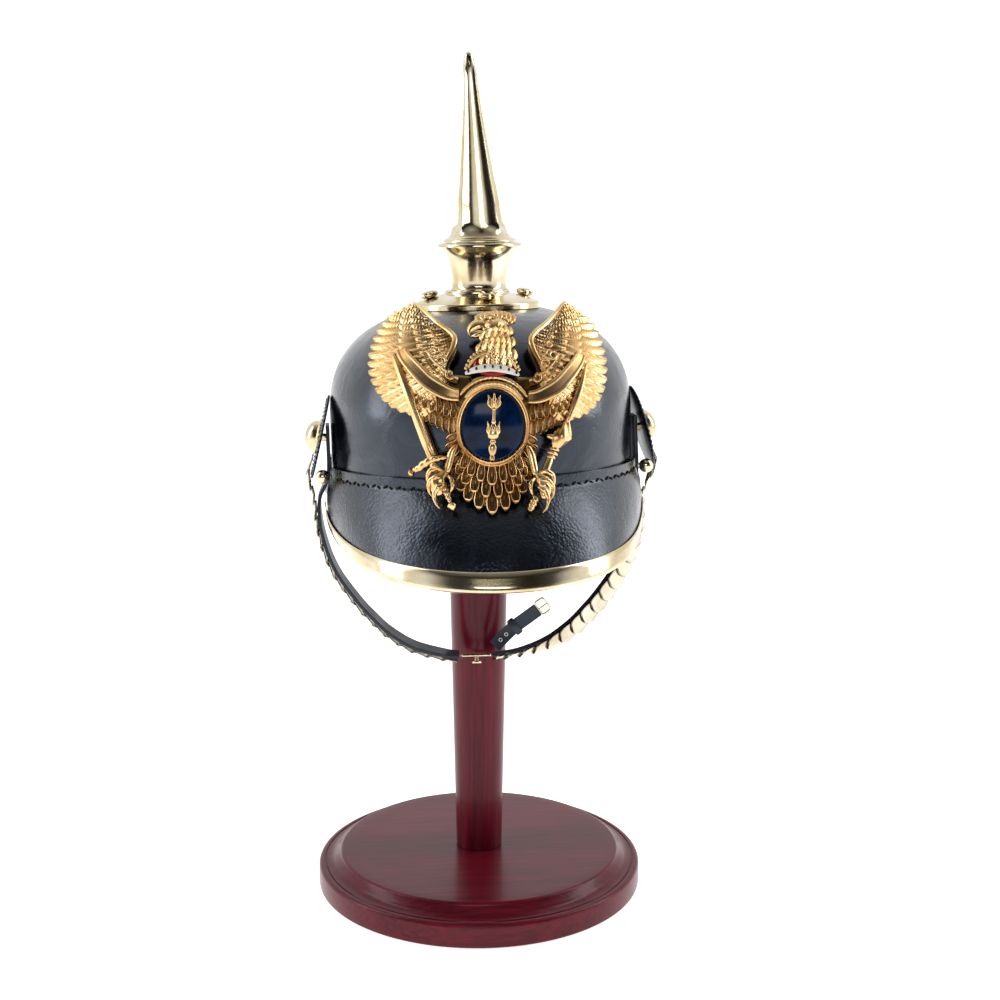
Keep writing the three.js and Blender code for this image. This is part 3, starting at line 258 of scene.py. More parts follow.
# a ball whose turn and share from pole to pole are bent to shape by place
def roundPiece(segments, rings, place):
    deselectAll()
    bpy.ops.mesh.primitive_uv_sphere_add(segments=segments, ring_count=rings, radius=1)
    piece = bpy.context.object
    x, y, z = readPoints(piece).T
    writePoints(piece, place(np.arctan2(y, x), np.arccos(np.clip(-z, -1, 1)) / math.pi))
    return piece


def weld(piece, holes=True):
    startEdit(piece)
    bpy.ops.mesh.remove_doubles(threshold=0.001)
    if holes:
        bpy.ops.mesh.fill_holes(sides=0)
    bpy.ops.mesh.normals_make_consistent(inside=False)
    bpy.ops.object.mode_set(mode="OBJECT")
    return piece


def turnedPiece(profile, sides):  # a disc drawn up ring by ring, as a turner's profile of [radius, height]
    deselectAll()
    (radius, height), *rest = profile
    bpy.ops.mesh.primitive_circle_add(vertices=sides, radius=radius, fill_type="NGON",
                                      location=(0, 0, height))
    bpy.ops.object.transform_apply(location=True)
    piece = bpy.context.object
    startEdit(piece)
    for nextRadius, nextHeight in rest:
        bpy.ops.mesh.extrude_region_move(TRANSFORM_OT_translate={"value": (0, 0, nextHeight - height)})
        share = nextRadius / radius
        bpy.ops.transform.resize(value=(share, share, 1), center_override=(0, 0, nextHeight))
        radius, height = nextRadius, nextHeight
    bpy.ops.mesh.select_all(action="SELECT")
    bpy.ops.mesh.normals_make_consistent(inside=False)
    bpy.ops.object.mode_set(mode="OBJECT")
    return piece


def addModifier(piece, kind, **settings):
    deselectAll()
    bpy.context.view_layer.objects.active = piece
    piece.select_set(True)
    modifier = piece.modifiers.new(kind.lower(), kind)
    for key, value in settings.items():
        setattr(modifier, key, value)
    bpy.ops.object.modifier_apply(modifier=modifier.name)
    return piece


def joined(pieces):
    deselectAll()
    for piece in pieces:
        piece.select_set(True)
    bpy.context.view_layer.objects.active = pieces[0]
    if len(pieces) > 1:
        bpy.ops.object.join()
    return pieces[0]


def copied(piece, matrix=None):
    twin = piece.copy()
    twin.data = piece.data.copy()
    bpy.context.scene.collection.objects.link(twin)
    if matrix is not None:
        twin.data.transform(matrix)
    return twin


rollPivot = Matrix.Translation((0, 0, 355.5))
helmetRoll = rollPivot @ Matrix.Rotation(math.radians(-1.1), 4, "Y") @ rollPivot.inverted()


def finishPiece(piece, name, material, replaced=(), rolled=False, angle=35):
    if rolled:
        piece.data.transform(helmetRoll)
    piece.data.transform(Matrix.Scale(mm, 4))
    piece.name = name
    piece.data.name = name
    if material:
        piece.data.materials.clear()
        piece.data.materials.append(material)
    deselectAll()
    bpy.context.view_layer.objects.active = piece
    piece.select_set(True)
    bpy.ops.object.shade_smooth_by_angle(angle=math.radians(angle))
    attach(piece, "root")
    if replaced:
        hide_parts(*replaced)
    return piece


def mix(a, b, share):
    return a + (b - a) * share


def smoothStep(share):
    t = np.clip(share, 0, 1)
    return t * t * (3 - 2 * t)


def alongCurve(rows, share):  # Catmull-Rom through rows of numbers, at shares from 0 to 1
    rows = np.asarray(rows, float)
    at = np.clip(np.asarray(share, float), 0, 1) * (len(rows) - 1)
    low = np.clip(np.floor(at).astype(int), 0, len(rows) - 2)
    t = (at - low)[..., None]
    first = rows[np.maximum(low - 1, 0)]
    last = rows[np.minimum(low + 2, len(rows) - 1)]
    a, b = rows[low], rows[low + 1]
    return 0.5 * (2 * a + (b - first) * t + (2 * first - 5 * a + 4 * b - last) * t ** 2
                  + (3 * a - first - 3 * b + last) * t ** 3)


def arc(radius, cx, cz, start, end, steps):
    return [(cx + radius * math.cos(math.radians(a)), cz + radius * math.sin(math.radians(a)))
            for a in np.linspace(start, end, steps)]


# ---- stand
stand = {"baseRadius": 100, "rimHeight": 14.7, "topRadius": 86.1, "baseHeight": 21.5,
         "postFoot": 14.1, "postNeck": 20}


def makeStand():
    edge, top, rim = stand["baseRadius"], stand["baseHeight"], stand["rimHeight"]
    profile = [(edge - 1.6, 0.05), *arc(1.6, edge - 1.6, 1.65, -90, 0, 5)[1:],
               *arc(2.2, edge - 2.2, rim - 2.2, 0, 90, 7)]
    profile += [(edge - 3.4, rim), (edge - 3.6, rim - 0.5), (edge - 4.4, rim - 0.5), (edge - 4.7, rim + 0.1)]
    profile += arc(5.6, edge - 5.2, rim + 5.8, -90, -150, 8)
    profile += arc(2.2, stand["topRadius"] - 1.4, top - 2.2, 15, 90, 7)
    profile += [(stand["topRadius"] - 8, top), (40, top), (8, top)]
    base = turnedPiece(profile, 160)
    finishPiece(base, "stand_base_turned", baseWood, ["stand_base"], angle=50)
    foot, neck = stand["postFoot"], stand["postNeck"]
    rise = [(mix(foot, neck, t), mix(21.8, 324.0, t)) for t in np.linspace(0, 1, 13)]
    cup = [(21.6, 327.2), (25.5, 331.0), (31, 334.2), (38, 336.8), (41.4, 338.2)]
    dome = [(r, 355.0 - r ** 2 / 220) for r in (42, 40, 34, 27, 20, 13, 6, 2)]
    post = turnedPiece([*rise, *cup, (42, 339.6), *dome], 96)
    finishPiece(post, "stand_post_turned", postWood, ["stand_post"], angle=50)


makeStand()
print("stand made")

# ---- leather shell, drawn as two half ellipses with a flattened dome over them
shell = {"halfWidth": 89, "front": 105, "back": 108, "wall": 2.5, "rimZ": 258, "shoulderZ": 294,
         "domeHeight": 64, "power": 2.5}
visor = {"seamZ": 266, "seamDip": 4, "lapHeight": 5.8, "lapGap": 0.6, "lap": 2, "thickness": 2.3,
         "bulge": 0.07}
frontEdge = {"out": 39, "drop": 46, "outSide": 5.5, "dropSide": 15, "sweep": 77, "reach": 9.5,
             "reachSide": 5, "outPower": 2.4, "dropPower": 0.26}
rearEdge = {"out": 30, "drop": 50, "outSide": 5, "dropSide": 12, "start": 97}


def shellDepth(sweep):
    return np.where(np.cos(np.radians(sweep)) > 0, shell["front"], shell["back"])


def planPoint(sweep, z, outward=0.0):  # a point of the plan at a sweep from the front, in degrees
    angle = np.radians(sweep)
    depth = shellDepth(sweep)
    x, y = shell["halfWidth"] * np.sin(angle), -depth * np.cos(angle)
    nx, ny = np.sin(angle) / shell["halfWidth"], -np.cos(angle) / depth
    size = np.hypot(nx, ny)
    return np.stack([x + outward * nx / size, y + outward * ny / size, z + 0 * x], -1)


def domeTop(x, y):
    share = np.hypot(x / shell["halfWidth"], y / np.where(y < 0, shell["front"], shell["back"]))
    return shell["shoulderZ"] + shell["domeHeight"] * np.clip(1 - np.minimum(1, share) ** shell["power"], 0,
                                                              1) ** (1 / shell["power"])


def makeShell():
    sides, power = 144, shell["power"]
    deselectAll()
    bpy.ops.mesh.primitive_circle_add(vertices=sides, radius=1)
    piece = bpy.context.object
    x, y, _ = readPoints(piece).T
    writePoints(piece, planPoint(np.degrees(np.arctan2(x, -y)), shell["rimZ"]))
    startEdit(piece)
    size, height = 1.0, shell["rimZ"]
    rows = [(1.0, z) for z in (258.6, 262, 270, 278, 286, 294)]
    for turn in np.radians([3, 6, 9, 13, 17, 21, 25, 29, 33, 37, 41, 45, 49, 53, 57, 61, 65, 69, 73, 77, 81,
                            84.5, 87, 89]):
        rows.append((math.cos(turn) ** (2 / power),
                     shell["shoulderZ"] + shell["domeHeight"] * math.sin(turn) ** (2 / power)))
    for nextSize, nextHeight in rows:
        bpy.ops.mesh.extrude_edges_move(TRANSFORM_OT_translate={"value": (0, 0, nextHeight - height)})
        share = nextSize / size
        bpy.ops.transform.resize(value=(share, share, 1), center_override=(0, 0, nextHeight))
        size, height = nextSize, nextHeight
    bpy.ops.mesh.merge(type="CENTER")
    bpy.ops.mesh.select_all(action="SELECT")
    bpy.ops.mesh.normals_make_consistent(inside=False)
    bpy.ops.object.mode_set(mode="OBJECT")
    addModifier(piece, "SOLIDIFY", thickness=shell["wall"], offset=-1)
    finishPiece(piece, "shell_leather", shellLeather, ["shell"], rolled=True, angle=60)


makeShell()
print("shell made")


# ---- visors: a lap sewn on the shell, then a bowed sheet down to the edge
def visorRows(out, drop, share):  # the outer face from the edge up to the lap's top, as [outwards, height]
    seam = visor["seamZ"] - visor["seamDip"] * (1 - share)
    start = np.array([visor["lapGap"] + visor["lap"], seam])
    end = np.array([out, visor["seamZ"] - drop])
    chord = end - start
    knee = start + chord / 2 + np.array([-chord[1], chord[0]]) * visor["bulge"] * 2
    t = np.linspace(0, 1, 25)[:, None]
    bow = (1 - t) ** 2 * start + 2 * t * (1 - t) * knee + t ** 2 * end
    top = np.array([[start[0], seam + h] for h in np.linspace(0, visor["lapHeight"], 7)[1:]])
    return np.concatenate([bow[::-1], top])


def frontShape(sweep):
    share = max(0.0, math.cos(math.radians(sweep / frontEdge["sweep"] * 90)))
    reach = mix(frontEdge["reachSide"], frontEdge["reach"], share)
    out = mix(frontEdge["outSide"], frontEdge["out"], share ** frontEdge["outPower"])
    return out, mix(frontEdge["dropSide"], frontEdge["drop"], share ** frontEdge["dropPower"]), share, reach


def rearShape(sweep):
    share = max(0.0, math.cos(math.radians((180 - sweep) / (180 - rearEdge["start"]) * 90)))
    return mix(rearEdge["outSide"], rearEdge["out"], share), mix(rearEdge["dropSide"], rearEdge["drop"],
                                                                 share ** 0.8), share


def station(low, high, share):  # closer together towards the ends, where the front edge drops
    return mix(low, high, 0.5 - 0.5 * math.cos(share * math.pi))


def visorSheet(low, high, shape):
    def place(u, v):
        points = []
        cache = {}
        for s, t in zip(u, v):
            key = round(float(s), 6)
            if key not in cache:
                sweep = station(low, high, key)
                cache[key] = (sweep, visorRows(*shape(sweep)[:3]))
            sweep, rows = cache[key]
            out, z = rows[int(round(t * (len(rows) - 1)))]
            points.append(planPoint(np.array(sweep), z, out))
        return np.array(points)
    piece = gridPiece(120, 30, place)
    addModifier(piece, "SOLIDIFY", thickness=visor["thickness"] - 0.3, offset=-1)
    addModifier(piece, "BEVEL", width=0.5, segments=3, limit_method="ANGLE", angle_limit=math.radians(60))
    return piece


finishPiece(visorSheet(-frontEdge["sweep"], frontEdge["sweep"], frontShape),
            "front_visor_leather", visorLeather, ["front_visor"], rolled=True, angle=60)
finishPiece(visorSheet(rearEdge["start"], 360 - rearEdge["start"], rearShape),
            "rear_visor_leather", visorLeather, ["rear_visor"], rolled=True, angle=60)
print("visors made")


# ---- brass edge of the front visor, bent over it
def trimRows(sweep):
    out, drop, share, reach = frontShape(sweep)
    rows = visorRows(out, drop, share)
    run = rows[0] - rows[3]
    run = run / np.hypot(*run)
    face = np.array([-run[1], run[0]])
    gap, skin = 0.45, 0.9
    path = [(-reach, gap + skin * 0.4), (-reach + 0.8, gap + skin), (-reach * 0.6, gap + skin),
            (-reach * 0.2, gap + skin)]
    path += [(0.2, gap + skin), (0.9, gap + skin * 0.4), (gap + skin, -0.4), (gap + skin, -1.7), (0.9, -2.9)]
    path += [(0.1, -visor["thickness"] - gap - skin), (-1.6, -visor["thickness"] - gap - skin),
             (-3.6, -visor["thickness"] - gap - skin)]
    return [rows[0] + run * a + face * b for a, b in path]


def makeTrim():
    def place(u, v):
        cache = {}
        points = []
        for s, t in zip(u, v):
            key = round(float(s), 6)
            if key not in cache:
                sweep = station(-frontEdge["sweep"] + 0.2, frontEdge["sweep"] - 0.2, key)
                cache[key] = (sweep, trimRows(sweep))
            sweep, rows = cache[key]
            out, z = rows[len(rows) - 1 - int(round(t * (len(rows) - 1)))]
            points.append(planPoint(np.array(sweep), z, out))
        return np.array(points)
    piece = gridPiece(160, 11, place)
    addModifier(piece, "SOLIDIFY", thickness=0.6, offset=-1)
    finishPiece(piece, "front_edge_brass", sheetBrass, ["front_trim"], rolled=True, angle=50)


makeTrim()

# ---- ball rivets at the visor's ends
rivet = {"sweep": 73.4, "radius": 4.2}


def makeRivets():
    for side, way in (("left", -1), ("right", 1)):
        low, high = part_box(f"visor_rivet_{side}")
        centre = (low + high) / 2 / mm
        sweep = way * rivet["sweep"]
        normal = Vector(planPoint(np.array(sweep), 0, 1.0) - planPoint(np.array(sweep), 0, 0.0))
        tip = centre + normal * 0.9

        def place(turn, share):
            r = np.sin(share * math.pi)
            return np.stack([r * np.cos(turn), r * np.sin(turn), -np.cos(share * math.pi)],
                            -1) * rivet["radius"]

        ball = roundPiece(24, 16, place)
        stem = turnedPiece([(1.6, -4.6), (1.6, -2)], 16)
        piece = joined([ball, stem])
        piece.data.transform(Matrix.Translation(tip) @ normal.to_track_quat("Z", "Y").to_matrix().to_4x4())
        finishPiece(piece, f"rivet_ball_{side}", sheetBrass, [f"visor_rivet_{side}"])


makeRivets()
print("trim made")


# ---- zigzag stitching along the seam, waxed black thread
stitch = {"pitch": 4.6, "long": 4.0, "thick": 0.7}


def makeStitches(name, low, high, shape):
    def place(turn, share):
        r = stitch["thick"] * np.sin(share * math.pi) ** 0.5
        return np.stack([r * np.cos(turn), 0.8 * r * np.sin(turn), (share - 0.5) * stitch["long"]], -1)
    model = roundPiece(8, 8, place)
    pieces = []
    sweeps = np.linspace(low, high, 2000)
    seams = np.array([visor["seamZ"] - visor["seamDip"] * (1 - shape(sweep)[2]) for sweep in sweeps])
    line = planPoint(sweeps, 0, visor["lapGap"] + visor["lap"] + 0.25) + seams[:, None] * (0, 0, 1)
    far = np.concatenate([[0], np.cumsum(np.linalg.norm(np.diff(line, axis=0), axis=1))])
    count = int(far[-1] / stitch["pitch"])
    for i in range(count):
        at = (i + 0.5) * far[-1] / count
        k = int(np.searchsorted(far, at))
        run = Vector(line[min(k + 1, len(line) - 1)] - line[k - 1]).normalized()
        up = Vector((0, 0, 1))
        out = run.cross(up)
        lean = run * math.cos(0.5) + up * (math.sin(0.5) * (1 if i % 2 else -1))
        frameMatrix = Matrix((lean.cross(out), out, lean)).transposed().to_4x4()
        spot = Vector(line[k]) + up * (0.35 if i % 2 else -0.35)
        pieces.append(copied(model, Matrix.Translation(spot) @ frameMatrix))
    bpy.data.objects.remove(model)
    finishPiece(joined(pieces), name, waxedThread, rolled=True)


makeStitches("seam_stitches_front", -70, 70, frontShape)
makeStitches("seam_stitches_rear", 104, 256, rearShape)
print("stitches made")

# ---- crown plate, neck and collar
crown = {"plate": 36.5, "plateTop": 359.74, "neckBase": 364.04, "aside": 0.9, "neckLean": 2.1,
         "spikeLean": 2.25, "rise": 29.9}


def leanAside(piece, x, z, lean):  # shifts each height aside, so that the rings stay level with the plate
    shear = Matrix(((1, 0, math.tan(math.radians(lean)), x), (0, 1, 0, 0), (0, 0, 1, z), (0, 0, 0, 1)))
    piece.data.transform(shear)


def makeCrown():
    top = crown["plateTop"]
    profile = [(crown["plate"], 352.5), (crown["plate"], top - 1.4),
               *arc(1.3, crown["plate"] - 1.3, top - 1.3, 0, 80, 5)]
    profile += [(34.6, top + 0.3), (31, top + 1.5), (27.2, top + 2.75), (23.6, top + 3.55),
                (20.6, top + 4.2), (19.2, top + 4.5)]
    profile += arc(0.9, 17.9, top + 5.6, -20, 90, 6) + [(4, top + 6.5)]
    plate = turnedPiece(profile, 96)
    points = readPoints(plate)
    under = points[:, 2] < 353
    points[under, 2] = domeTop(points[under, 0], points[under, 1]) + 0.3
    writePoints(plate, points)
    rows = [(15.4, 0.5), (16.6, 1.2), (16.8, 2.6), (15.8, 3.6), (15.6, 5.0), (15.8, 8.0), (16.3, 11.5),
            (17.0, 15.0), (18.0, 19.0), (19.4, 22.5), (21.6, 25.2), (23.6, 26.6), (24.3, 27.4), (24.3, 28.2),
            (23.9, 28.9), (22.6, 29.5), (6, 29.6)]
    neck = turnedPiece(rows, 96)
    leanAside(neck, crown["aside"], crown["neckBase"], crown["neckLean"])
    finishPiece(joined([plate, neck]), "crown_plate_brass", sheetBrass, ["spike_base"], rolled=True,
                angle=40)

    spikeRows = [(21.2, 0), (21.3, 0.8), (20.4, 1.7), (18.2, 2.8), (16.7, 4.6), (15.9, 6.6), (15.3, 8.4),
                 (14.9, 10.4), (14.3, 13.4), (13.7, 18), (13.0, 26), (11.1, 37), (9.6, 48), (8.0, 59),
                 (6.5, 70.5), (5.3, 81.5), (4.1, 92.5), (2.95, 102.6), (1.9, 105.8), (0.0, 107.4)]

    def place(turn, share):
        row = alongCurve(spikeRows, share)
        radius, height = np.maximum(row[:, 0], 0), row[:, 1]
        depth = 0.17 * smoothStep((height - 4) / 7) * smoothStep((104 - height) / 12)
        dip = np.abs(np.sin(turn * 4)) ** 0.8
        radius = np.where(share < 1e-6, 0, radius * (1 - depth * dip))
        return np.stack([radius * np.cos(turn), radius * np.sin(turn), np.clip(height, 0, 107.4)], -1)

    spike = roundPiece(128, 90, place)
    weld(spike)
    foot = crown["aside"] + crown["rise"] * math.tan(math.radians(crown["neckLean"]))
    leanAside(spike, foot, crown["neckBase"] + crown["rise"], -crown["spikeLean"])
    finishPiece(spike, "spike_brass", sheetBrass, ["spike"], rolled=True, angle=40)

    def star(turn, share):
        ring = np.sin(share * math.pi / 2)
        points = 1 - 0.16 * (0.5 - 0.5 * np.cos(turn * 8)) * (1 - (2 * np.abs(share - 0.5)) ** 2)
        radius = 5.0 * np.sin(share * math.pi) ** 0.7 * points
        return np.stack([radius * np.cos(turn), radius * np.sin(turn), -1.0 + 4.5 * ring ** 2], -1)

    model = roundPiece(32, 12, star)
    for side in ("front", "right", "back", "left"):
        low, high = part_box(f"spike_stud_{side}")
        centre = helmetRoll.inverted() @ ((low + high) / 2 / mm)
        out = Vector((centre.x, centre.y, 0)).normalized()
        normal = (Vector((0, 0, 1)) + out * 0.22).normalized()
        at = Matrix.Translation(centre - normal * 1.6) @ normal.to_track_quat("Z", "Y").to_matrix().to_4x4()
        finishPiece(copied(model, at), f"crown_stud_{side}", sheetBrass, [f"spike_stud_{side}"],
                    rolled=True, angle=20)
    bpy.data.objects.remove(model)


makeCrown()
print("crown made")

# ---- the helmet's front as a flat drawing: [across, up, height] in millimetres round the shield's middle
front = {"tilt": 3.4, "aside": -2.5, "rise": 33.0, "stand": 1.1, "bendZ": 290.0, "bend": 0.076,
         "wingLift": 5.0}
domeTurns = np.radians(np.linspace(0, 88, 177))
lineOut = np.concatenate([np.full(34, 105.0), 105.0 * np.cos(domeTurns) ** 0.8])
lineZ = np.concatenate([np.linspace(226, 292, 34), 294 + 64 * np.sin(domeTurns) ** 0.8])
lineAlong = np.concatenate([[0], np.cumsum(np.hypot(np.diff(lineOut), np.diff(lineZ)))]) - 40.0


def carrier(x, along):
    out, z = np.interp(along, lineAlong, lineOut), np.interp(along, lineAlong, lineZ)
    bend = front["bend"] * np.maximum(0, front["bendZ"] - z) ** 1.5
    curve = 105 * (1 - np.sqrt(np.maximum(0, 1 - (x / 89) ** 2)))
    return np.stack([x, -out - bend + curve, z], -1)


def laidOnFront(points):
    across, up, height = points.T
    c, s = math.cos(math.radians(front["tilt"])), math.sin(math.radians(front["tilt"]))
    x = front["aside"] + across * c + up * s
    along = front["rise"] - across * s + up * c
    tip = smoothStep((up - 25) / 50) * smoothStep((np.abs(across) - 15) / 25)
    lift = front["stand"] + height + front["wingLift"] * tip
    e = 0.6
    normal = np.cross(carrier(x + e, along) - carrier(x - e, along),
                      carrier(x, along + e) - carrier(x, along - e))
    normal /= np.linalg.norm(normal, axis=1)[:, None]
    return carrier(x, along) + normal * lift[:, None]


def setShadeAndTarnish(piece, share):  # how deep each point lies in the casting: painted shade in the recesses, partly real tarnishing
    attribute = piece.data.attributes.get("shadeAndTarnish") or piece.data.attributes.new("shadeAndTarnish", "FLOAT", "POINT")
    attribute.data.foreach_set("value", np.asarray(share, np.float32))
    return piece


# where a feather is widest, how narrow its root is, and the share of its height at the edge
featherKinds = {
    "vane": {"peak": 0.74, "root": 0.7, "edge": 0.5},
    "loop": {"peak": 0.72, "root": 0.34, "edge": 0.8},
    "small": {"peak": 0.55, "root": 0.6, "edge": 0.35},
}


def feather(root, tip, half, foot, rise, kind, bow=0.0, across=14, along=28):
    run = np.array(tip, float) - np.array(root, float)
    length = math.hypot(*run)
    run = run / length
    side = np.array([run[1], -run[0]])
    style = featherKinds[kind]
    shadeAndTarnish = []

    def place(u, v):
        a = u * 2 - 1
        inner = 1 - 2 / across
        e = np.minimum(1, np.abs(a) / inner)
        wall = (np.abs(a) > inner + 0.01) | (v > 0.999) | (v < 0.001)
        peak = style["peak"]
        grow = mix(style["root"], 1, smoothStep(v / peak))
        fade = np.sqrt(np.maximum(0.0004, 1 - ((v - peak) / (1 - peak)) ** 2))
        width = np.where(v < peak, grow, fade)
        rim = np.maximum(e, smoothStep((v - 0.84) / 0.14))
        if kind == "loop":
            ridge = 0.3 * np.exp(-(e / 0.14) ** 2) * (1 - smoothStep((v - 0.5) / 0.2))
            top = 0.1 + 0.9 * np.exp(-((rim - 0.8) / 0.2) ** 2) + ridge
        else:
            shaft = 0.3 * np.exp(-(e / 0.15) ** 2)
            barbs = 0.15 * np.sin(2 * math.pi * (v * length / 1.5 - e * 1.1)) * smoothStep(e / 0.4)
            top = style["edge"] + (1 - style["edge"]) * (1 - rim ** 2) + shaft + barbs * (1 - rim ** 6)
        height = np.where(wall, foot - 1.2, foot + rise * top)
        # painted shade: each feather is darker at its walls and low parts and lighter on its tops
        shadeAndTarnish.append(np.clip(0.9 - 1.2 * top + 0.7 * wall, 0, 0.8))
        spread = np.sign(a) * e * half * width
        swing = bow * length * 4 * v * (1 - v)
        flat = np.outer(v * length, run) + np.outer(spread + swing, side) + np.array(root, float)
        return np.column_stack([flat, height])

    piece = gridPiece(across, along, place)
    return setShadeAndTarnish(piece, shadeAndTarnish[0])


def cordPiece(rows, segments=12, rings=24, strands=0, twist=0.0, depth=0.14, squash=1.0, blunt=0.3):
    # a closed cord through rows of [across, up, height, radius]; strands and twist make it a rope
    rows = np.array(rows, float)
    shadeAndTarnish = []

    def place(turn, share):
        row = alongCurve(rows, share)
        ahead = alongCurve(rows, np.minimum(1, share + 0.01))[:, :3] - alongCurve(rows,
            np.maximum(0, share - 0.01))[:, :3]
        ahead[:, 2] = 0
        ahead /= np.maximum(1e-9, np.linalg.norm(ahead, axis=1))[:, None]
        side = np.column_stack([-ahead[:, 1], ahead[:, 0], 0 * turn])
        wave = np.cos(turn * strands + share * twist * 2 * math.pi) if strands else 0 * turn
        radius = row[:, 3] * np.maximum(0, np.sin(share * math.pi)) ** blunt * (1 + depth * wave)
        # painted shade: darker on the cord's underside and in the grooves between strands
        shadeAndTarnish.append(np.clip(0.4 - 0.8 * np.sin(turn) - 0.4 * wave, 0, 0.8))
        centre = row[:, :3]
        return (centre + side * (radius * np.cos(turn))[:, None]
                + np.array([0, 0, 1]) * (radius * squash * np.sin(turn))[:, None])

    piece = roundPiece(segments, rings, place)
    return setShadeAndTarnish(piece, shadeAndTarnish[0])


def beadsAlong(rows, count, radius, heightLift=0.0):
    model = cordPiece([(0, -radius, 0, radius), (0, 0, 0, radius), (0, radius, 0, radius)], 8, 6, blunt=0.5)
    beads = []
    for share in np.linspace(0, 1, count):
        x, y, z = alongCurve(np.array(rows, float), np.array([share]))[0][:3]
        beads.append(copied(model, Matrix.Translation((x, y, z + heightLift))))
    bpy.data.objects.remove(model)
    return joined(beads)


def bandPiece(rows, across=10, along=30, border=0.5, dish=0.35):
    # a ribbon through rows of [across, up, height, half width] with a raised line inside each edge
    rows = np.array(rows, float)
    shadeAndTarnish = []

    def place(u, v):
        a = u * 2 - 1
        inner = 1 - 2 / across
        e = np.minimum(1, np.abs(a) / inner)
        row = alongCurve(rows, v)
        ahead = alongCurve(rows, np.minimum(1, v + 0.01)) - alongCurve(rows, np.maximum(0, v - 0.01))
        ahead = ahead[:, :2] / np.maximum(1e-9, np.hypot(ahead[:, 0], ahead[:, 1]))[:, None]
        wall = (np.abs(a) > inner + 0.01) | (v > 0.999) | (v < 0.001)
        line = np.exp(-((e - 0.78) / 0.14) ** 2)
        height = np.where(wall, row[:, 2] - 3.2, row[:, 2] + border * line - dish * (e < 0.6))
        # painted shade: the raised line is lighter and the walls are darker
        shadeAndTarnish.append(np.clip(0.45 - line + wall, 0, 0.8))
        spread = np.sign(a) * e * row[:, 3]
        return np.column_stack([row[:, 0] + ahead[:, 1] * spread, row[:, 1] - ahead[:, 0] * spread, height])

    piece = gridPiece(across, along, place)
    return setShadeAndTarnish(piece, shadeAndTarnish[0])


def mirrored(rows, way):
    return [(way * row[0], *row[1:]) for row in rows]


# ---- gilt eagle, cast in one and laid on the front
wing = {
    "roots": [(39.5, 77), (36.5, 68.5), (31, 59.5), (25, 53.8), (20.4, 50), (19, 45), (20.6, 38), (23, 31.5),
              (21.5, 27.5), (11.5, 26.5), (13.2, 21), (14.5, 18.5)],
    "tips": [(42, 80.5), (50.5, 69), (57, 57), (61.5, 45), (64.3, 33), (64, 22), (59.5, 12.5), (51.5, 6),
             (42, 3.5), (33, 0), (26, -3.5), (20.5, -5)],
    "primaries": 18, "coverts": 16, "lesser": 13, "least": 11, "loops": 6,
}
tail = {"roots": [(15.4, -12), (12, -15.8), (6.6, -19.2), (0, -20.6), (-6.6, -19.2), (-12, -15.8),
                  (-15.4, -12)],
        "tips": [(18.6, -27), (15.5, -34.5), (9.4, -40.4), (0, -43.2), (-9.4, -40.4), (-15.5, -34.5),
                 (-18.6, -27)]}


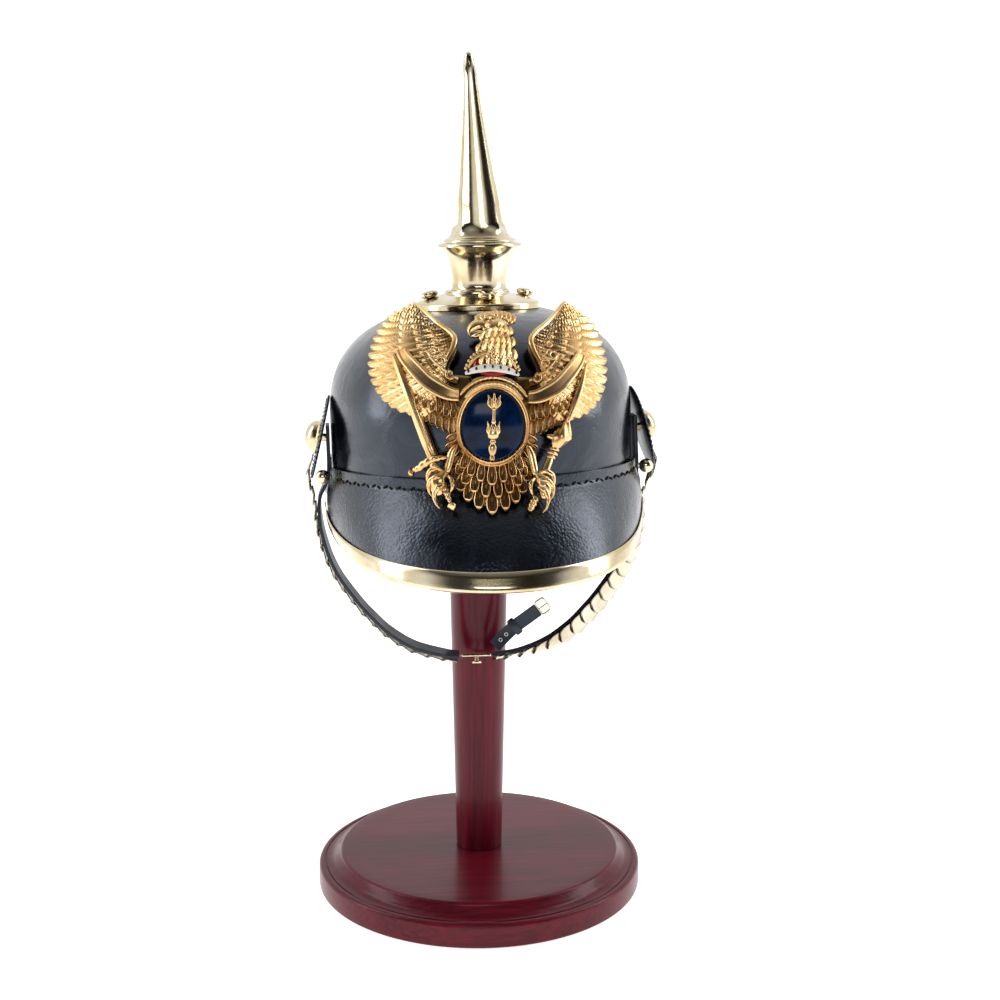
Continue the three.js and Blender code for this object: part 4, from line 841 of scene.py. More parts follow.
def wingPieces(way):
    roots, tips = np.array(wing["roots"], float), np.array(wing["tips"], float)
    at = lambda table, station: alongCurve(table, np.array([station / 11]))[0] * (way, 1)
    sheets = []
    shadeAndTarnish = []

    def ground(u, v):
        low, high = alongCurve(roots, v), alongCurve(tips, v)
        flat = low + (high - low) * (u * 0.93)[:, None]
        edge = (u > 0.999) | (v < 0.001) | (v > 0.999) | (u < 0.001)
        # painted shade: the ground plate under the feathers is darkened evenly where it shows between them
        shadeAndTarnish.append(np.full(len(u), 0.7))
        return np.column_stack([flat[:, 0] * way, flat[:, 1], np.where(edge, -0.3, 1.0)])

    plate = gridPiece(20, 60, ground)
    setShadeAndTarnish(plate, shadeAndTarnish[0])
    if way < 0:
        startEdit(plate)
        bpy.ops.mesh.flip_normals()
        bpy.ops.object.mode_set(mode="OBJECT")
    sheets.append(plate)
    layers = [  # count, first and last station, root share, tip share, half width, foot, rise, kind, bow
        (wing["primaries"], 0.1, 8.3, 0.34, 1.0, 3.15, 0.7, 1.9, "vane", 0.05),
        (wing["coverts"], 0.4, 8.0, 0.14, 0.64, 2.75, 2.0, 1.7, "vane", 0.06),
        (wing["lesser"], 0.8, 7.8, 0.06, 0.43, 2.3, 3.0, 1.6, "small", 0.08),
        (wing["least"], 1.2, 7.6, 0.03, 0.25, 1.9, 3.8, 1.4, "small", 0.08),
    ]
    for count, first, last, start, end, half, foot, rise, kind, bow in layers:
        for i, station in enumerate(np.linspace(first, last, count)):
            root, tip = at(roots, station), at(tips, station)
            low, high = root + (tip - root) * start, root + (tip - root) * end
            sheets.append(feather(low, high, half * (0.94 + 0.06 * math.cos(i * 2.4)), foot, rise, kind,
                                  bow * way))
    for i in range(wing["loops"]):  # the drops that hang below the scroll, the upper row over the lower one
        step = i / (wing["loops"] - 1)
        low, high = (mix(41.5, 22.0, step), mix(12.0, 9.5, step)), (mix(35.5, 20.6, step),
                                                                    mix(2.6, -5.0, step))
        sheets.append(feather((way * low[0], low[1]), (way * high[0], high[1]), 2.0, 1.0, 2.0, "loop",
                              0.05 * way, 18, 28))
        low, high = (mix(40.0, 20.0, step), mix(17.5, 14.5, step)), (mix(36.5, 20.0, step),
                                                                     mix(8.5, 3.6, step))
        sheets.append(feather((way * low[0], low[1]), (way * high[0], high[1]), 1.8, 2.4, 1.8, "loop",
                              0.05 * way, 18, 28))
    arm = [(41.2, 79.6, 3.4, 0.8), (38.6, 73.0, 4.6, 1.3), (34.6, 65.4, 5.2, 1.5), (28.8, 57.6, 5.4, 1.6),
           (22.6, 51.8, 5.4, 1.7), (19.4, 46.4, 5.2, 1.7), (20.4, 40.0, 4.8, 1.6), (23.0, 34.0, 4.4, 1.4),
           (24.2, 29.0, 4.2, 1.2)]
    cords = [cordPiece(mirrored(arm, way), 14, 80)]
    for x, y, size, turned in ((25.5, 31.5, 2.5, 0), (30.4, 36.0, 2.3, 60), (25.2, 38.6, 2.0, 150),
                               (21.2, 25.0, 2.2, 200), (29.0, 42.6, 2.0, 30)):
        curl = [(way * (x + size * r * math.cos(math.radians(turned + a))),
                 y + size * r * math.sin(math.radians(turned + a)), 5.4, 0.75 * r ** 0.5)
                for a, r in ((0, 1.0), (60, 1.0), (120, 0.95), (180, 0.85), (240, 0.7), (300, 0.5),
                             (360, 0.25))]
        cords.append(cordPiece(curl, 10, 30))
    return sheets, cords


def tailPieces():
    roots, tips = np.array(tail["roots"], float), np.array(tail["tips"], float)
    sheets = []
    shadeAndTarnish = []

    def ground(u, v):
        low, high = alongCurve(roots, v) * 0.8, alongCurve(tips, v)
        edge = (u > 0.999) | (v < 0.001) | (v > 0.999)
        # painted shade: the tail's ground plate is darkened evenly where it shows between the loops
        shadeAndTarnish.append(np.full(len(u), 0.7))
        return np.column_stack([low + (high - low) * (u * 0.9)[:, None], np.where(edge, -0.3, 0.9)])

    def body(u, v):  # the casting behind the shield, the cap and the scrolls
        turn = u * 2 * math.pi
        return np.column_stack([23.0 * v * np.cos(turn), 2.5 + 25.5 * v * np.sin(turn),
                                np.where(v > 0.999, -0.3, 1.6)])

    plate = gridPiece(14, 40, ground)
    setShadeAndTarnish(plate, shadeAndTarnish[0])
    back = weld(gridPiece(48, 8, body))
    # painted shade: the casting behind the shield is darkened evenly
    setShadeAndTarnish(back, np.full(len(back.data.vertices), 0.45))
    sheets += [plate, back]
    layers = [(9, 0.03, 0.97, 0.32, 1.04, 2.75, 0.8, 2.1), (8, 0.09, 0.91, 0.06, 0.76, 2.5, 2.1, 2.0),
              (7, 0.14, 0.86, -0.18, 0.46, 2.2, 3.3, 1.6)]
    for count, first, last, start, end, half, foot, rise in layers:
        for share in np.linspace(first, last, count):
            low, high = alongCurve(roots, np.array([share]))[0], alongCurve(tips, np.array([share]))[0]
            swell = 0.45 if abs(share - 0.5) < 0.01 else 0
            sheets.append(feather(low + (high - low) * start, low + (high - low) * (end + swell * 0.05),
                                  half + swell, foot, rise, "loop", 0, 18, 28))
    for way in (-1, 1):
        for x, y, lean in ((18.6, -4.5, 0.7), (19.4, -9.0, 0.3), (18.6, -13.5, 0.0), (16.6, -17.5, -0.3)):
            sheets.append(feather((way * (x - 3.4), y + 2.4), (way * (x + 3.2 + lean), y - 3.6), 2.3, 2.0,
                                  1.8, "loop", 0, 18, 24))
    return sheets


def limbPieces(way):
    cords = [cordPiece(mirrored([(17.6, -9, 2.4, 1.8), (19.6, -14, 2.8, 2.1), (21.0, -20, 2.8, 2.2),
                                 (22.4, -26, 3.0, 2.4)], way), 14, 24)]
    cords.append(cordPiece(mirrored([(22, -25, 3.4, 2.4), (25.5, -29, 4, 3.3), (27, -33.5, 4, 3.5),
                                     (25.6, -38, 3.2, 2.6)], way),
                           16, 24, strands=3, twist=2, depth=0.12))
    toes = [[(23.2, -26, 4.2, 1.5), (26, -24.4, 5.4, 1.5), (29.6, -26, 5.6, 1.3), (31.2, -30, 4.6, 0.9),
             (30.4, -33, 3, 0.5)],
            [(22.6, -28.5, 4.4, 1.5), (26, -29, 6.6, 1.5), (29.8, -32, 6, 1.2), (30.6, -36, 4.4, 0.8),
             (29.4, -38.6, 2.8, 0.4)],
            [(22.4, -31.5, 4, 1.5), (25.4, -34, 6.2, 1.5), (27.8, -38, 5.2, 1.1), (27.4, -42, 3.6, 0.7),
             (25.6, -44, 2.4, 0.4)],
            [(22, -27, 3.6, 1.3), (19.6, -29.6, 4.6, 1.2), (19.4, -33, 4, 1.0), (21, -36, 2.6, 0.5)]]
    cords += [cordPiece(mirrored(rows, way), 12, 26, strands=2, twist=5, depth=0.06) for rows in toes]
    return cords


def neckPieces():
    column = [(0.6, 29, 2.4, 10.4), (1.0, 37, 3.0, 9.8), (1.6, 45, 3.6, 8.6), (2.2, 52, 4.0, 7.4),
              (2.2, 58, 4.2, 5.8)]
    skull = [(7.0, 54.6, 4.6, 4.6), (3.2, 56.2, 5.4, 5.8), (-1.2, 56.2, 5.6, 5.0), (-5.2, 55.6, 5.2, 3.4)]
    beak = [(-3.0, 57.0, 5.8, 4.0), (-6.4, 57.4, 6.0, 3.8), (-9.2, 56.2, 5.6, 3.2), (-11.4, 53.8, 4.8, 2.2),
            (-12.2, 50.8, 3.6, 0.7)]
    jaw = [(-2.4, 51.4, 5.0, 2.1), (-6.0, 50.6, 5.0, 1.8), (-9.4, 49.8, 4.4, 1.2), (-11.6, 50.2, 3.6, 0.5)]
    tongue = [(-5, 53.8, 4.8, 0.8), (-8.4, 53.4, 4.6, 0.7), (-10.6, 52.6, 4.2, 0.3)]
    cords = [cordPiece(column, 20, 30, squash=0.5), cordPiece(skull, 20, 24, squash=0.75),
             cordPiece(beak, 16, 26, squash=0.8), cordPiece(jaw, 12, 20), cordPiece(tongue, 8, 12)]
    cords.append(cordPiece([(-4.6, 59.2, 8.6, 0.8), (-2.2, 60.2, 9.4, 1.0), (0.6, 59.6, 9.4, 0.9),
                            (2.4, 58.2, 9.0, 0.5)], 10, 16))
    cords.append(cordPiece([(-1.9, 57.4, 9.4, 0.9), (-1.3, 57.8, 9.8, 1.0), (-0.7, 57.4, 9.4, 0.9)], 10, 8,
                           blunt=0.5))
    cords.append(cordPiece([(-2.6, 56.4, 9.2, 0.5), (-1.2, 55.8, 9.4, 0.6), (0.4, 56.6, 9.2, 0.5)], 8, 12))
    sheets = []
    for row, y in enumerate(np.linspace(33.5, 56.5, 7)):
        middle, base = alongCurve(np.array(column), np.array([(y - 29) / 29]))[0][[0, 2]]
        wide = alongCurve(np.array(column), np.array([(y - 29) / 29]))[0][3]
        count = 6 if y < 46 else 5
        for i in range(count):
            a = (i + 0.5 + 0.25 * (row % 2 * 2 - 1)) / count * 2 - 1
            top = base + wide * 0.5 * math.sqrt(max(0.05, 1 - (a * 0.92) ** 2))
            root = (middle + a * wide * 0.9 + 0.9, y + 2.4)
            tip = (middle + a * (wide + 0.6) * 0.95 - 0.9, y - 4.6)
            sheets.append(feather(root, tip, wide / count * 1.18, top - 0.5 + row * 0.06, 1.3, "small",
                                  0.1 * math.sin(y * 0.8), 10, 16))
    return cords, sheets


def crownPieces():
    cords = [cordPiece([(-5.6, 66.4, 2.6, 3.4), (2.2, 67.4, 3.6, 8.2), (10.0, 66.4, 2.6, 3.4)], 18, 20,
                       squash=0.42)]
    for i in range(9):
        a = (i / 8) * 2 - 1
        rows = [(2.0 + a * 6.8, 60.8, 5.6 - a * a * 1.8, 1.1), (2.1 + a * 9.4, 65.0, 6.6 - a * a * 2.6, 1.7),
                (2.2 + a * 9.0, 69.2, 6.2 - a * a * 2.2, 1.7), (2.3 + a * 5.6, 72.2, 5.2 - a * a, 1.2),
                (2.4 + a * 1.6, 73.8, 4.4, 0.7)]
        cords.append(cordPiece(rows, 12, 30, strands=1, twist=7, depth=0.12))
    cords.append(cordPiece([(-5.4, 61.4, 3.0, 1.3), (-1.8, 60.2, 5.6, 1.6), (2.0, 59.8, 6.2, 1.7),
                            (5.8, 60.2, 5.6, 1.6), (9.4, 61.4, 3.0, 1.3)],
                           12, 36, strands=2, twist=8, depth=0.08))
    cords.append(cordPiece([(2.4, 74.0, 3.8, 1.7), (2.5, 75.6, 3.8, 1.9), (2.6, 77.0, 3.6, 1.1)], 14, 12))
    cords.append(beadsAlong([(-6.2, 63.6, 4.0), (-2.2, 62.4, 6.6), (2.0, 62.0, 7.4), (6.2, 62.4, 6.6),
                             (10.2, 63.6, 4.0)], 12, 1.0))
    return cords


def weaponPieces():
    cords = []

    def blade(u, v):
        a = u * 2 - 1
        line = np.array([(-50.2, 36, 3.2, 0.5), (-49.2, 32.5, 3.8, 1.5), (-46.0, 24.5, 4.2, 1.9),
                         (-38, 3.5, 3.2, 2.2), (-31.4, -13.5, 2.8, 2.4), (-28.2, -21.0, 2.8, 2.5)], float)
        row = alongCurve(line, v)
        e = np.minimum(1, np.abs(a) / 0.8)
        wall = (np.abs(a) > 0.85) | (v < 0.001)
        run = np.array([0.36, -0.933])
        side = np.array([run[1], -run[0]])
        height = row[:, 2] + 0.9 * (1 - e) + 0.25 * np.exp(-((e - 0.7) / 0.12) ** 2)
        spread = np.sign(a) * e * row[:, 3]
        return np.column_stack([row[:, :2] + spread[:, None] * side,
                                np.where(wall, row[:, 2] - 2.8, height)])

    sheet = gridPiece(10, 60, blade)
    setShadeAndTarnish(sheet, np.zeros(len(sheet.data.vertices)))
    cords.append(cordPiece([(-38.8, -26.2, 3.4, 1.9), (-36.0, -25.4, 4.2, 1.8), (-31.0, -21.2, 5.0, 2.2),
                            (-26.0, -18.6, 5.2, 2.0), (-22.0, -17.6, 4.4, 1.4)],
                           14, 40, strands=2, twist=7, depth=0.1))
    cords.append(cordPiece([(-41.0, -27.2, 3.4, 1.2), (-39.6, -27.4, 3.4, 2.2), (-38.4, -27.0, 3.4, 1.6)],
                           12, 12, blunt=0.5))
    cords.append(cordPiece([(-29.0, -21.6, 5.6, 1.8), (-27.6, -23.4, 5.8, 2.0), (-26.6, -25.4, 5.2, 1.6)],
                           12, 12))
    cords.append(cordPiece([(-27.6, -22, 3.2, 2.0), (-25.6, -28, 3.4, 2.0), (-22.8, -35, 3.2, 1.8),
                            (-20.6, -40.6, 2.8, 1.6)], 12, 40,
                           strands=1, twist=9, depth=0.12))
    cords.append(cordPiece([(-20.8, -40.4, 3.0, 1.4), (-19.8, -42.4, 3.2, 2.4), (-19.2, -44.4, 2.8, 1.0)],
                           14, 12, blunt=0.5))
    cords.append(cordPiece([(49.0, 32.5, 4.4, 1.2), (46.0, 24.0, 4.8, 1.5), (43.4, 16.4, 4.4, 1.7),
                            (40.2, 8.2, 3.6, 1.8), (37.6, 2.2, 3.6, 2.0)], 12, 40))
    knob = [(38.6, 3.8, 3.6, 1.6), (37.8, 1.6, 3.8, 2.4), (36.4, -1.6, 4.2, 3.6), (34.8, -5.2, 4.4, 4.3),
            (33.0, -9.4, 4.0, 3.8), (31.6, -12.6, 3.4, 2.4)]
    cords.append(cordPiece(knob, 20, 44, strands=4, twist=1.5, depth=0.16, squash=0.8))
    for x, y, r in ((31.8, -12.2, 3.0), (30.8, -14.4, 3.3), (30.0, -16.4, 2.7)):
        cords.append(cordPiece([(x - r * 0.92, y + r * 0.38, 3.2, 1.0), (x, y, 4.6, 1.1),
                                (x + r * 0.92, y - r * 0.38, 3.2, 1.0)], 10, 14))
    cords.append(cordPiece([(30.2, -15.6, 3.2, 2.2), (28.4, -20.4, 3.2, 2.1), (26.8, -25, 3.2, 2.2)], 12,
                           20))
    cords.append(cordPiece([(27.5, -3.6, 3.0, 1.5), (30.6, -4.6, 3.4, 1.6), (33.5, -5.4, 3.4, 1.4)], 10, 12))
    cords.append(cordPiece([(22.4, -36, 3.0, 2.0), (20.4, -40, 3.0, 1.9), (18.6, -43.4, 2.8, 1.6)], 12, 24,
                           strands=1, twist=4))
    return cords, sheet


def arcRows(halfX, halfY, first, last, height, radius, count=9):
    return [(halfX * math.sin(math.radians(a)), halfY * math.cos(math.radians(a)), height,
             radius) for a in np.linspace(first, last, count)]


def capPieces():
    cords = [cordPiece(arcRows(18.6, 21.8, -50, 50, 4.4, 1.15), 12, 60, strands=2, twist=16, depth=0.08),
             cordPiece(arcRows(21.2, 24.8, -52, 52, 4.0, 1.15), 12, 60, strands=2, twist=16, depth=0.08)]
    for side in (-1, 1):
        cords.append(beadsAlong([(side * 13.0 - 0.8, 28.4, 5.4), (side * 10.2 - 0.8, 33.6, 6.8),
                                 (side * 5.6 - 0.8, 36.8, 7.6), (-0.8, 37.4, 7.8)], 10, 0.9))
        cords.append(cordPiece([(side * 12.0 - 0.8, 28.4, 5.4, 0.8), (side * 9.0 - 0.8, 32.6, 6.8, 0.8),
                                (side * 5.0 - 0.8, 35.2, 7.6, 0.8), (-0.8, 35.8, 7.8, 0.8)], 10, 26))
    cords.append(beadsAlong([(-0.8, 30.4, 8.6), (-0.8, 33.4, 8.6), (-0.8, 37.0, 8.2)], 5, 0.9))
    cords.append(cordPiece([(-0.8, 37.6, 7.0, 1.2), (-0.8, 38.8, 7.2, 1.5), (-0.8, 40.2, 7.0, 1.1)], 12, 10,
                           blunt=0.5))
    fill = cordPiece([(-12.4, 28.6, 4.0, 2.0), (-8, 30.6, 5.0, 5.2), (-0.8, 31.0, 5.6, 6.2),
                      (6.4, 30.6, 5.0, 5.2), (10.8, 28.6, 4.0, 2.0)],
                     24, 44, squash=0.42, blunt=0.4)
    band = [(-14.4, 26.2, 4.0, 1.6), (-10.4, 27.4, 5.6, 1.9), (-5.6, 28.2, 6.8, 2.1), (-0.8, 28.5, 7.2, 2.1),
            (4.0, 28.2, 6.8, 2.1), (8.8, 27.4, 5.6, 1.9), (12.8, 26.2, 4.0, 1.6)]
    ermine = cordPiece(band, 14, 60, squash=0.6)
    spots = []
    for share in (0.09, 0.23, 0.37, 0.5, 0.63, 0.77, 0.91):
        x, y, z, _ = alongCurve(np.array(band), np.array([share]))[0]
        spots.append(cordPiece([(x, y + 0.9, z + 1.1, 0.35), (x, y, z + 1.2, 0.6),
                                (x, y - 0.9, z + 1.1, 0.4)], 8, 8, squash=0.6))
    return cords, fill, ermine, spots


def scrollPieces(way):
    rows = [(17.0, 15.4, 4.4, 3.0), (20.6, 15.6, 5.0, 3.3), (25, 17.0, 5.4, 3.7), (32, 20.8, 5.8, 3.9),
            (38, 26.6, 5.8, 3.8), (43, 32.6, 5.6, 3.5), (45.6, 37.4, 5.0, 2.8)]
    fold = [(17.6, 22.4, 4.2, 1.7), (21.8, 23.8, 4.8, 2.0), (27, 27.2, 5.2, 2.1), (31.4, 32.2, 5.2, 1.9),
            (33.8, 37.4, 4.8, 1.4)]
    return [bandPiece(mirrored(rows, way), 16, 60, 0.8, 0.3),
            bandPiece(mirrored(fold, way), 12, 40, 0.6, 0.3)]


def laidDown(piece):
    writePoints(piece, laidOnFront(readPoints(piece)))
    return piece


def makeEagle():
    for name, way in (("left", -1), ("right", 1)):
        sheets, cords = wingPieces(way)
        cast = laidDown(joined([*sheets, *scrollPieces(way), *cords]))
        finishPiece(cast, f"eagle_wing_{name}_cast", giltBrass, ["eagle"], rolled=True, angle=60)
    neckCords, neckSheets = neckPieces()
    weaponCords, bladeSheet = weaponPieces()
    capCords, fill, ermine, spots = capPieces()
    cords = [*limbPieces(-1), *limbPieces(1), *neckCords, *crownPieces(), *weaponCords, *capCords]
    cast = laidDown(joined([*tailPieces(), *neckSheets, bladeSheet, *cords]))
    finishPiece(cast, "eagle_body_cast", giltBrass, ["eagle"], rolled=True, angle=60)
    finishPiece(laidDown(fill), "cap_red_enamel", redEnamel, rolled=True, angle=60)
    finishPiece(laidDown(ermine), "cap_white_enamel", whiteEnamel, rolled=True, angle=60)
    finishPiece(laidDown(joined(spots)), "cap_enamel_spots", blackLacquer, rolled=True, angle=60)


makeEagle()
print("eagle made")

# ---- enamelled oval with its double rim and sceptre
oval = {"halfWidth": 15.9, "halfHeight": 19.0, "rimShare": 1.1447, "crest": 4.75}


def ovalPiece(rows, sides=96):  # a rim or dome as rings of [share of the oval, height], closed round
    rows = np.array(rows, float)

    def place(u, v):
        row = rows[np.rint(v * (len(rows) - 1)).astype(int)]
        turn = u * 2 * math.pi
        return np.column_stack([oval["halfWidth"] * row[:, 0] * np.cos(turn),
                                oval["halfHeight"] * row[:, 0] * np.sin(turn), row[:, 1]])

    return weld(gridPiece(sides, len(rows) - 1, place))


def makeShield():
    outer, crest = oval["rimShare"], oval["crest"]
    rim = [(outer, 1.4), (outer + 0.006, 3.4), (outer, 4.0), (outer - 0.02, 4.5), (outer - 0.035, crest),
           (outer - 0.05, 4.55), (outer - 0.062, 4.15), (outer - 0.075, 4.1), (outer - 0.09, 4.3),
           (outer - 0.105, 4.7), (outer - 0.12, 4.85), (outer - 0.135, 4.5), (1.0, 4.0), (0.995, 2.9),
           (0.995, 1.4), (outer, 1.4)]
    rimPiece = ovalPiece(rim, 128)
    setShadeAndTarnish(rimPiece, np.zeros(len(rimPiece.data.vertices)))
    finishPiece(laidDown(rimPiece), "shield_rim_brass", giltBrass, ["shield_rim"], rolled=True,
                angle=50)
    dome = [(1.02, 2.4), (0.99, 3.7), (0.9, 4.05), (0.75, 4.4), (0.6, 4.62), (0.4, 4.82), (0.2, 4.92),
            (0.03, 4.95), (0.0, 4.95)]
    finishPiece(laidDown(ovalPiece(dome, 96)), "shield_field_enamel", blueEnamel,
                ["shield_field"], rolled=True, angle=60)

    def shaft(turn, share):
        stations = [(-18.6, 0.3), (-18.2, 1.5), (-16.6, 1.5), (-15.6, 1.1), (-14.8, 1.6), (-12, 2.2),
                    (-9.2, 1.9), (-7.8, 1.2), (-6.9, 1.7), (-6.0, 1.3), (-4.6, 2.6), (-2.6, 2.9),
                    (-0.4, 2.2), (1.4, 1.5), (2.4, 1.0), (3.4, 1.3), (4.2, 0.9), (8.6, 0.9), (9.4, 1.6),
                    (10.2, 1.1)]
        row = alongCurve(stations, share)
        radius = np.maximum(0, row[:, 1]) * np.maximum(0, np.sin(share * math.pi)) ** 0.15
        return np.column_stack([radius * np.cos(turn), row[:, 0], 4.9 + radius * 0.75 * np.sin(turn)])

    parts = [roundPiece(16, 80, shaft)]
    for way in (-1, 1):
        parts.append(cordPiece([(way * 1.0, -4.0, 4.9, 0.9), (way * 2.6, -1.6, 5.1, 0.9),
                                (way * 2.4, 1.2, 5.1, 0.7), (way * 3.0, 3.6, 4.9, 0.4)], 10, 18))
        parts.append(cordPiece([(way * 0.8, 9.6, 4.9, 0.8), (way * 2.6, 11.8, 5.1, 0.9),
                                (way * 2.3, 14.0, 5.1, 0.7), (way * 3.1, 16.2, 4.9, 0.4)], 10, 18))
        parts.append(cordPiece([(way * 0.4, 9.8, 5.2, 0.7), (way * 1.1, 12.2, 5.4, 0.7),
                                (way * 0.9, 14.6, 5.2, 0.4)], 8, 14))
    parts.append(cordPiece([(0, 10, 5.3, 0.8), (0, 12.6, 5.6, 1.0), (0, 15.4, 5.3, 0.6),
                            (0, 17.0, 5.0, 0.3)], 10, 16))
    parts.append(cordPiece([(0, -4, 5.8, 0.7), (0, -1.2, 6.0, 1.0), (0, 1.4, 5.6, 0.6)], 10, 14))
    sceptre = joined(parts)
    setShadeAndTarnish(sceptre, np.zeros(len(sceptre.data.vertices)))
    finishPiece(laidDown(sceptre), "shield_sceptre_gilt", giltBrass, ["shield_sceptre"], rolled=True,
                angle=60)


makeShield()
print("shield made")

# ---- serrated cockades and domed bosses on the sides
side = {"x": 94.8, "y": -12.0, "z": 284.0, "tilt": 14, "radius": 25, "thickness": 1.5, "teeth": 44,
        "tooth": 1.0, "bossFoot": 1.05, "bossRadius": 10.5, "bossHeight": 8}


def sideMatrix(way):
    turn = Matrix.Rotation(math.radians(way * (90 - side["tilt"])), 4, "Y")
    return Matrix.Translation((way * side["x"], side["y"], side["z"])) @ turn


def makeSides():
    for name, way in (("left", -1), ("right", 1)):
        half, edge = side["thickness"] / 2, side["radius"]
        profile = [(2.9, -half), (edge - 1.4, -half), (edge - 0.3, -half + 0.3), (edge, 0),
                   (edge - 0.3, half - 0.2), (edge - 1.6, half), (edge - 3.4, half - 0.25),
                   (edge - 3.9, half), (edge - 8.4, half + 0.1), (edge - 8.9, half - 0.25),
                   (edge - 9.6, half), (3.2, half)]
        disc = turnedPiece(profile, side["teeth"] * 6)
        points = readPoints(disc)
        turn, r = np.arctan2(points[:, 1], points[:, 0]), np.hypot(points[:, 0], points[:, 1])
        notch = 0.5 - 0.5 * np.cos(turn * side["teeth"])
        cut = np.where(r > edge - 2, side["tooth"] * notch, 0) * np.clip((r - edge + 2) / 1.2, 0, 1)
        points[:, :2] *= ((r - cut) / np.maximum(r, 1e-9))[:, None]
        writePoints(disc, points)
        beads = []
        model = roundPiece(8, 6, lambda turn, share: np.stack([0.55 * np.sin(share * math.pi) * np.cos(turn),
                                                              0.55 * np.sin(share * math.pi) * np.sin(turn),
                                                               -0.55 * np.cos(share * math.pi)], -1))
        for i in range(44):
            a = i * 2 * math.pi / 44
            beads.append(copied(model,
                                Matrix.Translation(((edge - 2.6) * math.cos(a), (edge - 2.6) * math.sin(a),
                                                    half))))
        bpy.data.objects.remove(model)
        cockade = joined([disc, *beads])
        cockade.data.transform(sideMatrix(way))
        finishPiece(cockade, f"cockade_{name}_lacquered", blackLacquer, [f"cockade_{name}"],
                    rolled=True, angle=30)
        foot, r, h = side["bossFoot"], side["bossRadius"], side["bossHeight"]
        rows = [(r, foot), (r + 0.1, foot + 0.5), (r - 0.3, foot + 1.0), (r - 1.1, foot + 1.2),
                (r - 1.4, foot + 1.7)]
        rows += [((r - 1.4) * math.cos(t), foot + 1.7 + (h - 1.7) * math.sin(t)) for t in np.radians([12, 24,
            36, 48, 60, 72, 82, 88])]
        boss = turnedPiece(rows, 48)
        stem = turnedPiece([(2.4, -4.2), (2.4, foot + 0.4)], 20)
        piece = joined([boss, stem])
        piece.data.transform(sideMatrix(way))
        finishPiece(piece, f"boss_{name}_brass", sheetBrass, [f"boss_{name}"], rolled=True,
                    angle=50)


makeSides()
print("sides made")

# ---- chin strap
strap = {"width": 14, "thickness": 2, "scaleWidth": 15, "pitch": 9, "seat": 0.55}
strapRoute = [  # aside, y, z, twist on the left, twist on the right
    (96.6, -13.4, 247, 0, 18), (95.2, -15, 233, -3, 29), (92.8, -16.1, 221, -4, 38),
    (89, -17.2, 209.5, -4, 45), (83.2, -18.4, 198.3, -4, 50), (72.4, -20, 183.5, -4, 53),
    (64.4, -20.8, 174.6, -4, 53), (55, -21.7, 165.7, -4, 51), (40.3, -23.4, 156.8, -3, 43),
    (22, -25.6, 152, 0, 28)]
strapEnds = {-1: (-14.1, -26.4, 151, 2), 1: (6.1, -26.4, 151, 18)}
tailRoute = [(7.4, -29.6, 157.6, 62), (12, -30, 163, 72), (18.4, -30.4, 169.4, 84), (25.6, -30.6, 174.8, 88),
             (32.4, -30.8, 179.8, 88)]


# middle, way along, way across and way out of a strap at each share of its length
def strapFrames(rows, way, shares):
    rows = np.array(rows, float)
    fine = np.linspace(0, 1, 1200)
    dense = alongCurve(rows, fine)
    far = np.concatenate([[0], np.cumsum(np.linalg.norm(np.diff(dense[:, :3], axis=0), axis=1))])
    spot = np.interp(np.asarray(shares) * far[-1], far, fine)
    here = alongCurve(rows, spot)
    run = alongCurve(rows, np.minimum(1, spot + 0.004))[:, :3] - alongCurve(rows,
        np.maximum(0, spot - 0.004))[:, :3]
    run /= np.linalg.norm(run, axis=1)[:, None]
    ahead = np.array([0.0, -1.0, 0.0]) - run * (run @ np.array([0.0, -1.0, 0.0]))[:, None]
    ahead /= np.linalg.norm(ahead, axis=1)[:, None]
    out = np.cross(ahead, run) * way
    twist = np.radians(here[:, 3])[:, None]
    wide = ahead * np.cos(twist) - out * np.sin(twist)
    face = out * np.cos(twist) + ahead * np.sin(twist)
    return here[:, :3], run, wide, face, far[-1]


def ribbon(rows, way, half, low, high, steps):
    def place(u, v):
        at, run, wide, face, length = strapFrames(rows, way, v)
        ring = np.array([(-1, 0), (-0.97, 1), (-0.6, 1), (0, 1), (0.6, 1), (0.97, 1), (1, 0), (0.97, -1),
                         (0, -1), (-0.97, -1), (-1, 0)], float)
        corner = ring[np.rint(u * (len(ring) - 1)).astype(int)]
        middle, thick = (low + high) / 2, (high - low) / 2
        return at + wide * (corner[:, 0] * half)[:,
                                                 None] + face * (middle + thick * np.clip(corner[:, 1] * 1.0,
                                                     -1, 1))[:, None]
    return weld(gridPiece(10, steps, place))


def hangingRows(way):
    rows = [(way * x, y, z, right if way > 0 else left) for x, y, z, left, right in strapRoute]
    return [*rows, strapEnds[way]]


def rolledRow(x, y, z, twist=0.0):
    spot = helmetRoll @ Vector((x, y, z))
    return (*spot, twist)


